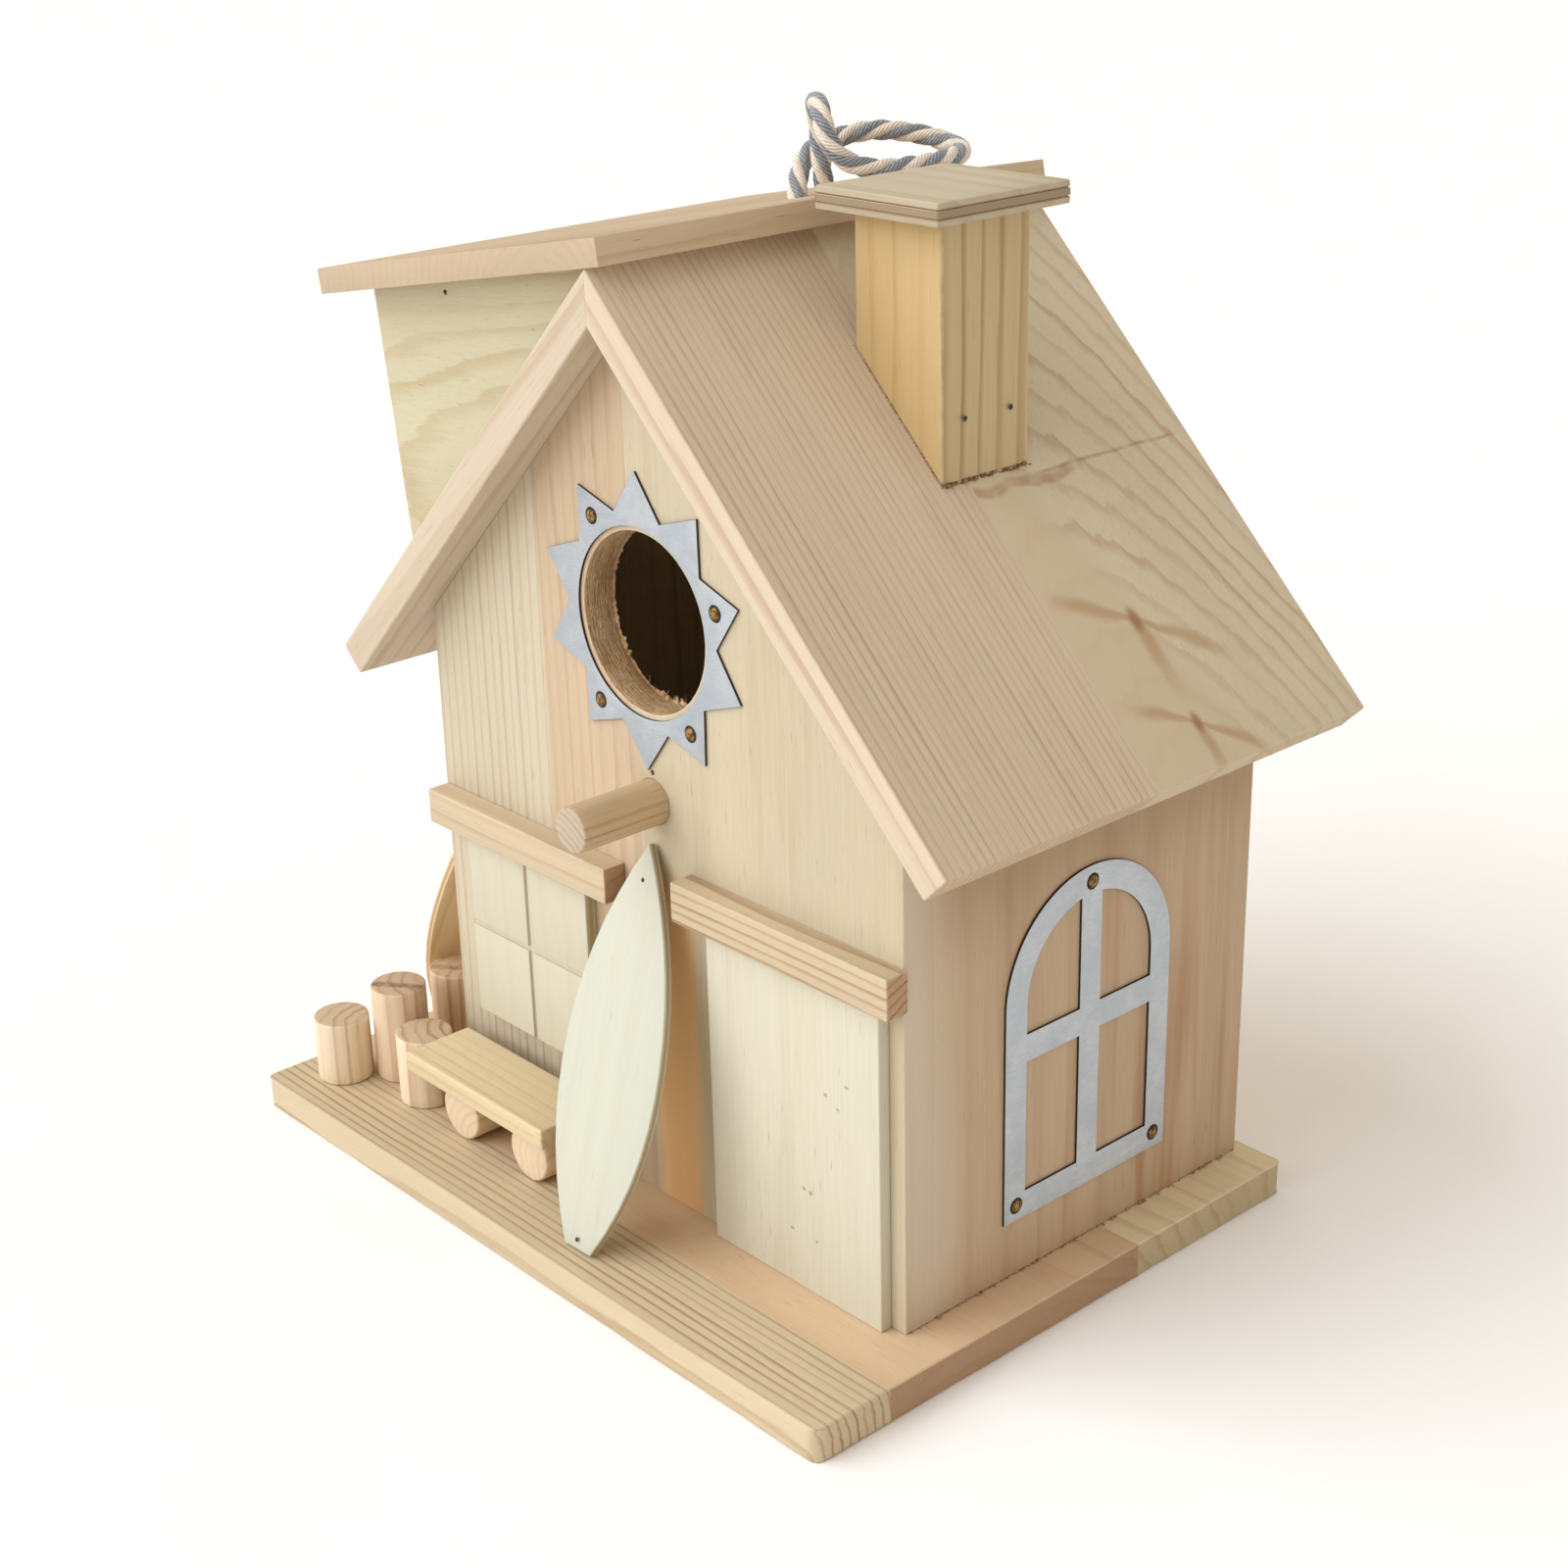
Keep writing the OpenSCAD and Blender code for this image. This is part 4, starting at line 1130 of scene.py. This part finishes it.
dormer_top_pine = timber("dormer_board_pine", DORMER_NORMAL, BACK, middle_of("dormer_roof_board"),
                         "C8B294", "A88C6D", heart=(30, 12), ring_gap=2.6, ring_strength=0.4,
                         wander=1.6, end="B6A38A", end_share=0.75, flecks=0.4)
wavy_pine = timber("wavy_dormer_pine", -BACK, RIGHT, middle_of("dormer_front_wall"),
                   "C3BB9D", "AB9364", heart=(14, 30), lean=(0.08, 0.12), ring_gap=4.0,
                   ring_strength=0.5, late_share=0.5, wander=7.0)
board("dormer_roof_board", dormer_top_pine, 0.45)
board("dormer_front_wall", wavy_pine, 0.3)
board("dormer_back_wall", wavy_pine, 0.3)
board("dormer_side_wall", left_pine, 0.3)


# ---- Chimney ----

def amber_face(g, color, roughness):
    """The post's front face is plainer and warmer than its sides."""
    facing = g.facing(tuple(-BACK))
    return g.mix(g.ramp(facing, 0.5, 0.9, 0.0, 0.6), color, paint("CFB07A")), roughness


chimney_pine = timber("striped_chimney_pine", -BACK, UP, middle_of("chimney_post"),
                      "C4AF86", "936C3C", heart=(38, 30), ring_gap=4.2, ring_strength=0.62,
                      late_share=0.4, wander=2.6, end="BCA482", marks=amber_face)
cap_ply = plywood("chimney_cap_plywood", UP, RIGHT, middle_of("chimney_cap"), "C3B79E", "9B8970",
                  4.6, 0.3, "8A6540")


def ply_slab(node, material, steps, corner_mm=0.5):
    """A small plywood slab whose layers stand a little in or out of each other.
    Each step is a share of the height and how far the edge stands in, in millimetres."""
    low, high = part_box(node)
    work = bmesh.new()
    loops = []
    for share, inset in steps:
        z = low.z + (high.z - low.z) * share
        inset = inset * MM
        loop = []
        for quarter in range(4):
            corner = (high.x if quarter in (0, 3) else low.x, high.y if quarter < 2 else low.y)
            signs = (1 if quarter in (0, 3) else -1, 1 if quarter < 2 else -1)
            for k in range(4):
                a = math.radians(90 * quarter + 30 * k)
                r = corner_mm * MM
                loop.append((corner[0] - signs[0] * (inset + r) + r * math.cos(a),
                             corner[1] - signs[1] * (inset + r) + r * math.sin(a), z))
        fine = []
        for here, after in zip(loop, loop[1:] + loop[:1]):
            pieces = 12 if (Vector(after) - Vector(here)).length > 5 * MM else 1
            for k in range(pieces):
                spot = Vector(here).lerp(Vector(after), k / pieces)
                rough = 0.5 + 0.5 * noise.noise(spot / (2.2 * MM))
                centre = Vector((middle_of(node).x, middle_of(node).y, z))
                fine.append(work.verts.new(spot + (centre - spot).normalized() * 0.12 * MM * rough))
        loops.append(fine)
    for lower, upper in zip(loops, loops[1:]):
        for k in range(len(lower)):
            n = (k + 1) % len(lower)
            work.faces.new((lower[k], lower[n], upper[n], upper[k]))
    work.faces.new(list(reversed(loops[0])))
    work.faces.new(loops[-1])
    bmesh.ops.recalc_face_normals(work, faces=work.faces)
    piece = new_piece(node + "_layered", work)
    piece.data.shade_smooth()
    piece.data.set_sharp_from_angle(angle=math.radians(35))
    return settle(piece, [node], [material], node)


board("chimney_post", chimney_pine, 0.7)
ply_slab("chimney_cap", cap_ply, CAP_STEPS)
flush_brads("chimney_nails", "chimney_brad_heads", RIGHT, 7)


# ---- Entrance ----

# Lit and shaded copies of one zinc, as painted shade and light: the front-facing sun plate is toned
# darker and the right-facing arch plate lighter, to match how each is lit.
zinc_sun = sheet_metal("zinc_sheet_sun", -BACK, "B9BEC2", "A7AEB5", "98A0A8")
zinc_arch = sheet_metal("zinc_sheet_arch", RIGHT, "CED5DA", "BAC2CB", "A9B3BD")
board("sun_plate", zinc_sun, 0.12)
board("arched_window_frame", zinc_arch, 0.12)

perch_pine = timber("perch_dowel_pine", RIGHT, BACK, middle_of("perch"), "C2AA88", "977451",
                    heart=(18, 9), ring_gap=1.6, ring_strength=0.75, wander=0.6, end="B3ABA0",
                    end_share=0.5, flecks=0.3)
dowel("perch", perch_pine, 1, 0.5)

flush_brads("wall_brads", "wall_brad_heads", -BACK, 11)


# ---- Window and door trim ----

def trim_pine(name, node, early, late, heart, ring_gap, end, strength=0.55):
    return timber(name, -BACK, RIGHT, middle_of(node), early, late, heart=heart,
                  ring_gap=ring_gap, ring_strength=strength, wander=1.2, end=end)


board("window_header", trim_pine("header_strip_pine", "window_header", "C8B598", "A67F59",
                                 (30, 16), 3.2, "A2633A", 0.45), 0.4)
board("door_rail", trim_pine("rail_strip_pine", "door_rail", "C7B496", "8C623A",
                             (26, 12), 1.9, "A8744E", 0.95), 0.4)


def door_specks(g, color, roughness):
    """A few brown pips in the pale door board."""
    spot = turned_place(g, (RIGHT, BACK, UP), at(0, 0, 0))
    wobble = g.math("SUBTRACT", g.noise(spot, (1.5, 1.5, 1.5)), 0.5)
    for x, z in DOOR_SPECKS:
        arm = g.vector("MULTIPLY", g.vector("SUBTRACT", spot, (x, 0, z)), (1, 0, 1.3))
        mask = g.ramp(g.add(g.vector("LENGTH", arm), wobble), 0.25, 0.75, 1.0, 0.0)
        color = g.mix(g.times(mask, 0.65), color, paint("9A7448"))
    return color, roughness


door_pine = timber("pale_door_pine", -BACK, UP, middle_of("door_plate"), "CCC7B3", "BBA987",
                   heart=(16, 60), ring_gap=6.0, ring_strength=0.25, wander=4.0, flecks=0.4,
                   blotch=0.04, marks=door_specks)
board("door_plate", door_pine, 0.35)
panes_ply = plywood("scored_window_plywood", -BACK, UP, middle_of("window_panes_plate"),
                    "C8C2AC", "B5A37C", 3.0, 0.12)
board("window_panes_plate", panes_ply, 0.25)


# ---- Surfboards ----

def lean_axes(lean, turn, quarter):
    """Which way a leaning surfboard faces, and which way it points."""
    lean, turn = math.radians(lean), math.radians(turn)
    faces = Vector((0, -math.cos(lean), math.sin(lean)))
    points = Vector((math.sin(turn), math.cos(turn) * math.sin(lean), math.cos(turn) * math.cos(lean)))
    spin = Matrix.Rotation(math.radians(quarter), 3, "Z")
    return spin @ faces, spin @ points


front_faces, front_points = lean_axes(17.4, -1.5, 0)
side_faces, side_points = lean_axes(21.5, -6, -90)
ivory_ply = plywood("ivory_surfboard_plywood", front_faces, front_points,
                    middle_of("front_surfboard"), "C6C7B7", "AA9671", 2.0, 0.1)
tan_ply = plywood("tan_surfboard_plywood", side_faces, side_points,
                  middle_of("side_surfboard"), "E6D2AE", "B99868", 2.0, 0.28)
board("front_surfboard", ivory_ply, 0.3)
board("side_surfboard", tan_ply, 0.3)


def surfboard_brads():
    groups = solids_of("surfboard_nails")
    groups.sort(key=lambda group: sum(p.x for p in group) / len(group))
    sides = [side_faces] * (len(groups) // 2) + [front_faces] * (len(groups) - len(groups) // 2)
    pieces = []
    for k, (group, faces) in enumerate(zip(groups, sides)):
        top = max(p.dot(faces) for p in group)
        end = [p for p in group if p.dot(faces) > top - 0.3 * MM]
        spot = sum(end, Vector()) / len(end)
        pieces.append(pins("brad_" + str(k), [spot], faces, nail_steel, 0.5, 0.18, 20 + k))
    piece, materials = join("surfboard_brad_heads", pieces)
    piece.data.shade_smooth()
    settle(piece, ["surfboard_nails"], materials, "surfboard_nails")


surfboard_brads()


# ---- Logs and bench ----

def dark_heart(node, degrees):
    """A brown streak across a log's end."""
    along = Vector((math.cos(math.radians(degrees)), math.sin(math.radians(degrees)), 0))

    def marks(g, color, roughness):
        spot = turned_place(g, (along.cross(UP), along, UP), middle_of(node))
        facing = g.facing(tuple(UP))
        streak = g.group("smear", place=g.vector("SUBTRACT", spot, (1.2, 0, 0)), half_width=1.3,
                         start=-9, stop=9, sway=0.5)
        share = g.times(streak["Mask"], g.ramp(facing, 0.6, 0.85, 0.25, 0.8))
        return g.mix(share, color, paint("6E5038")), roughness
    return marks


for node, early, late, heart in (
        ("log_front_left", "E7D4B8", "B9946B", (10, 5)),
        ("log_tall", "DFC7AB", "AB7F5B", (4, 9)),
        ("log_side", "DCC0A2", "A67C5A", (12, 3)),
        ("log_by_bench", "E6D2B6", "B48E6C", (6, 11))):
    log_pine = timber(node + "_pine", -BACK, UP, middle_of(node), early, late, heart=heart,
                      ring_gap=3.0, ring_strength=0.75, wander=0.8, end="A68C6C",
                      end_share=0.55, flecks=0.3,
                      marks=dark_heart(node, 35) if node in ("log_tall", "log_side") else None)
    dowel(node, log_pine, 2, 0.6)
for node, heart in (("bench_leg_left", (8, 6)), ("bench_leg_right", (12, 2))):
    leg_pine = timber(node + "_pine", UP, BACK, middle_of(node), "E2C8A6", "B88E64", heart=heart,
                      ring_gap=2.2, ring_strength=0.5, wander=0.8, end="DECBB0",
                      end_share=0.65, flecks=0.3)
    dowel(node, leg_pine, 1, 0.6)
bench_pine = timber("bench_seat_pine", UP, RIGHT, middle_of("bench_seat"), "D5C29D", "B89665",
                    heart=(24, 14), ring_gap=2.6, ring_strength=0.4, wander=1.2, end="C8B088")
board("bench_seat", bench_pine, 0.6)


# ---- Clean-out cover ----

cover_pine = timber("cover_pine", BACK, UP, middle_of("cleanout_cover"), "E8D2AC", "C29A6A",
                    heart=(10, 40), lean=(0.0, 0.05), ring_gap=4.0, ring_strength=0.45, wander=4.0)
board("cleanout_cover", cover_pine, 0.35, "cleanout_cover")
for screw_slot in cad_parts["cleanout_pivot_screw"].material_slots:
    screw_slot.material = screw_zinc


# ---- Small stuff: glue beads, splinters and rope fuzz ----

def bead_line(name, corners, slot, seed, spacing=0.8, radius=0.45, stray=0.3, kind=glue):
    """Dried glue along a line of corners, its sizes in millimetres."""
    edges = [(k, k + 1) for k in range(len(corners) - 1)]
    piece = points_piece(name, corners, edges)
    grow(piece, "glue beads", spacing=spacing * MM, bead_radius=radius * MM, stray=stray * MM,
         seed=seed, glue=kind)
    piece.data.shade_smooth()
    return settle(piece, [], [kind], slot)


def roof_spot(x, y, lift=0.1):
    """A place on the right roof panel, lifted a little off its face."""
    return RIDGE + Vector((x, y, lift - x * math.tan(ROOF_PITCH))) * MM


bead_line("chimney_foot_glue", [roof_spot(44.5, 41.3), roof_spot(44.5, 66.3)], "chimney_post", 31,
          0.4, 0.55, 0.25, dark_glue)
bead_line("chimney_side_glue", [roof_spot(20, 41.2), roof_spot(44.4, 41.2)], "chimney_post", 33,
          0.9, 0.22, 0.15)
wall_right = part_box("right_wall")[1].x
bead_line("wall_foot_glue", [Vector((wall_right + 0.1 * MM, at(0, y, 0).y, at(0, 0, 0.2).z))
                             for y in (1, 104)], "right_wall", 37, 1.3, 0.4, 0.35)


def torn_fringe(seed=47, teeth=150):
    """The ragged inner edge of the entrance hole, where the hole saw broke out."""
    rng = random.Random(seed)
    work = bmesh.new()
    rings = [[], [], []]
    for k in range(teeth):
        a = 2 * math.pi * k / teeth
        low = 0.55 - 0.45 * math.sin(a)
        reach = (0.25 + rng.random() ** 2 * 1.6 * low) * (1 if k % 2 else 0.45)
        arm = Vector((math.cos(a), 0, math.sin(a)))
        for ring, (r, y) in zip(rings, ((BORE_RADIUS + 0.4, 8.1), (BORE_RADIUS - reach, 7.9),
                                        (BORE_RADIUS + 0.1, 7.3))):
            ring.append(work.verts.new(BORE + arm * r * MM + BACK * y * MM))
    for here, after in ((0, 1), (1, 2), (2, 0)):
        for k in range(teeth):
            n = (k + 1) % teeth
            work.faces.new((rings[here][k], rings[here][n], rings[after][n], rings[after][k]))
    bmesh.ops.recalc_face_normals(work, faces=work.faces)
    settle(new_piece("torn_inner_edge", work), [], [torn_bore], "front_wall")


def splinters():
    """Loose fibres that hang on at the bottom of the hole."""
    work = bmesh.new()
    steps = 9
    for k in range(steps):
        angles = [math.radians(-120 + 70 * (k + t) / steps) for t in (0, 1, 1, 0)]
        spots = [BORE + Vector((math.cos(a) * BORE_RADIUS, y, math.sin(a) * BORE_RADIUS)) * MM
                 for a, y in zip(angles, (4.5, 4.5, 7.9, 7.9))]
        face = work.faces.new([work.verts.new(spot) for spot in spots])
        face.normal_update()
        if face.normal.dot(BORE - face.calc_center_median()) < 0:
            face.normal_flip()
    piece = new_piece("hole_splinters", work)
    grow(piece, "stray hairs", density=420000.0, length=2.6 * MM, thickness=0.07 * MM, lean=0.8,
         seed=41, fibre=torn_bore)
    settle(piece, [], [torn_bore], "front_wall")


torn_fringe()
splinters()

fuzz_yarn = yarn("pale_fuzz", "F0E8DC", "D0C4B6")
fuzz = new_object("rope_fuzz", rope.data.copy())
grow(fuzz, "stray hairs", density=650000.0, length=0.9 * MM, thickness=0.016 * MM, lean=1.3,
     seed=43, fibre=fuzz_yarn)
settle(fuzz, [], [fuzz_yarn], "hanging_rope")


# ---- Floor and light ----

def plain_floor():
    material, g, shader = new_material("pale_floor", Roughness=0.9)
    place = g.millimetre_place()
    grain = g.noise(place, (0.02, 0.02, 0.02), 3.0)
    g.feed(shader.inputs["Base Color"], g.mix(grain, paint("FBFBFB"), paint("FFFFFF")))
    work = bmesh.new()
    bmesh.ops.create_grid(work, x_segments=8, y_segments=8, size=6.0)
    piece = new_piece("floor", work)
    piece.data.materials.append(material)


def soft_sun(name, toward, spread, strength, color):
    lamp = bpy.data.lights.new(name, "SUN")
    lamp.angle = math.radians(spread)
    lamp.energy = strength
    lamp.color = color
    light = new_object(name, lamp)
    light.location = at(0, 0, 900)
    light.rotation_euler = Vector(toward).to_track_quat("Z", "Y").to_euler()


plain_floor()
soft_sun("window_light", (-0.5, -0.85, 0.7), 70, 2.6, (0.97, 1.0, 1.05))

world = bpy.data.worlds.new("studio")
world.use_nodes = True
world.node_tree.nodes["Background"].inputs["Color"].default_value = (1, 0.91, 0.8, 1)
world.node_tree.nodes["Background"].inputs["Strength"].default_value = 0.66
bpy.context.scene.world = world
bpy.context.scene.view_settings.view_transform = "Standard"
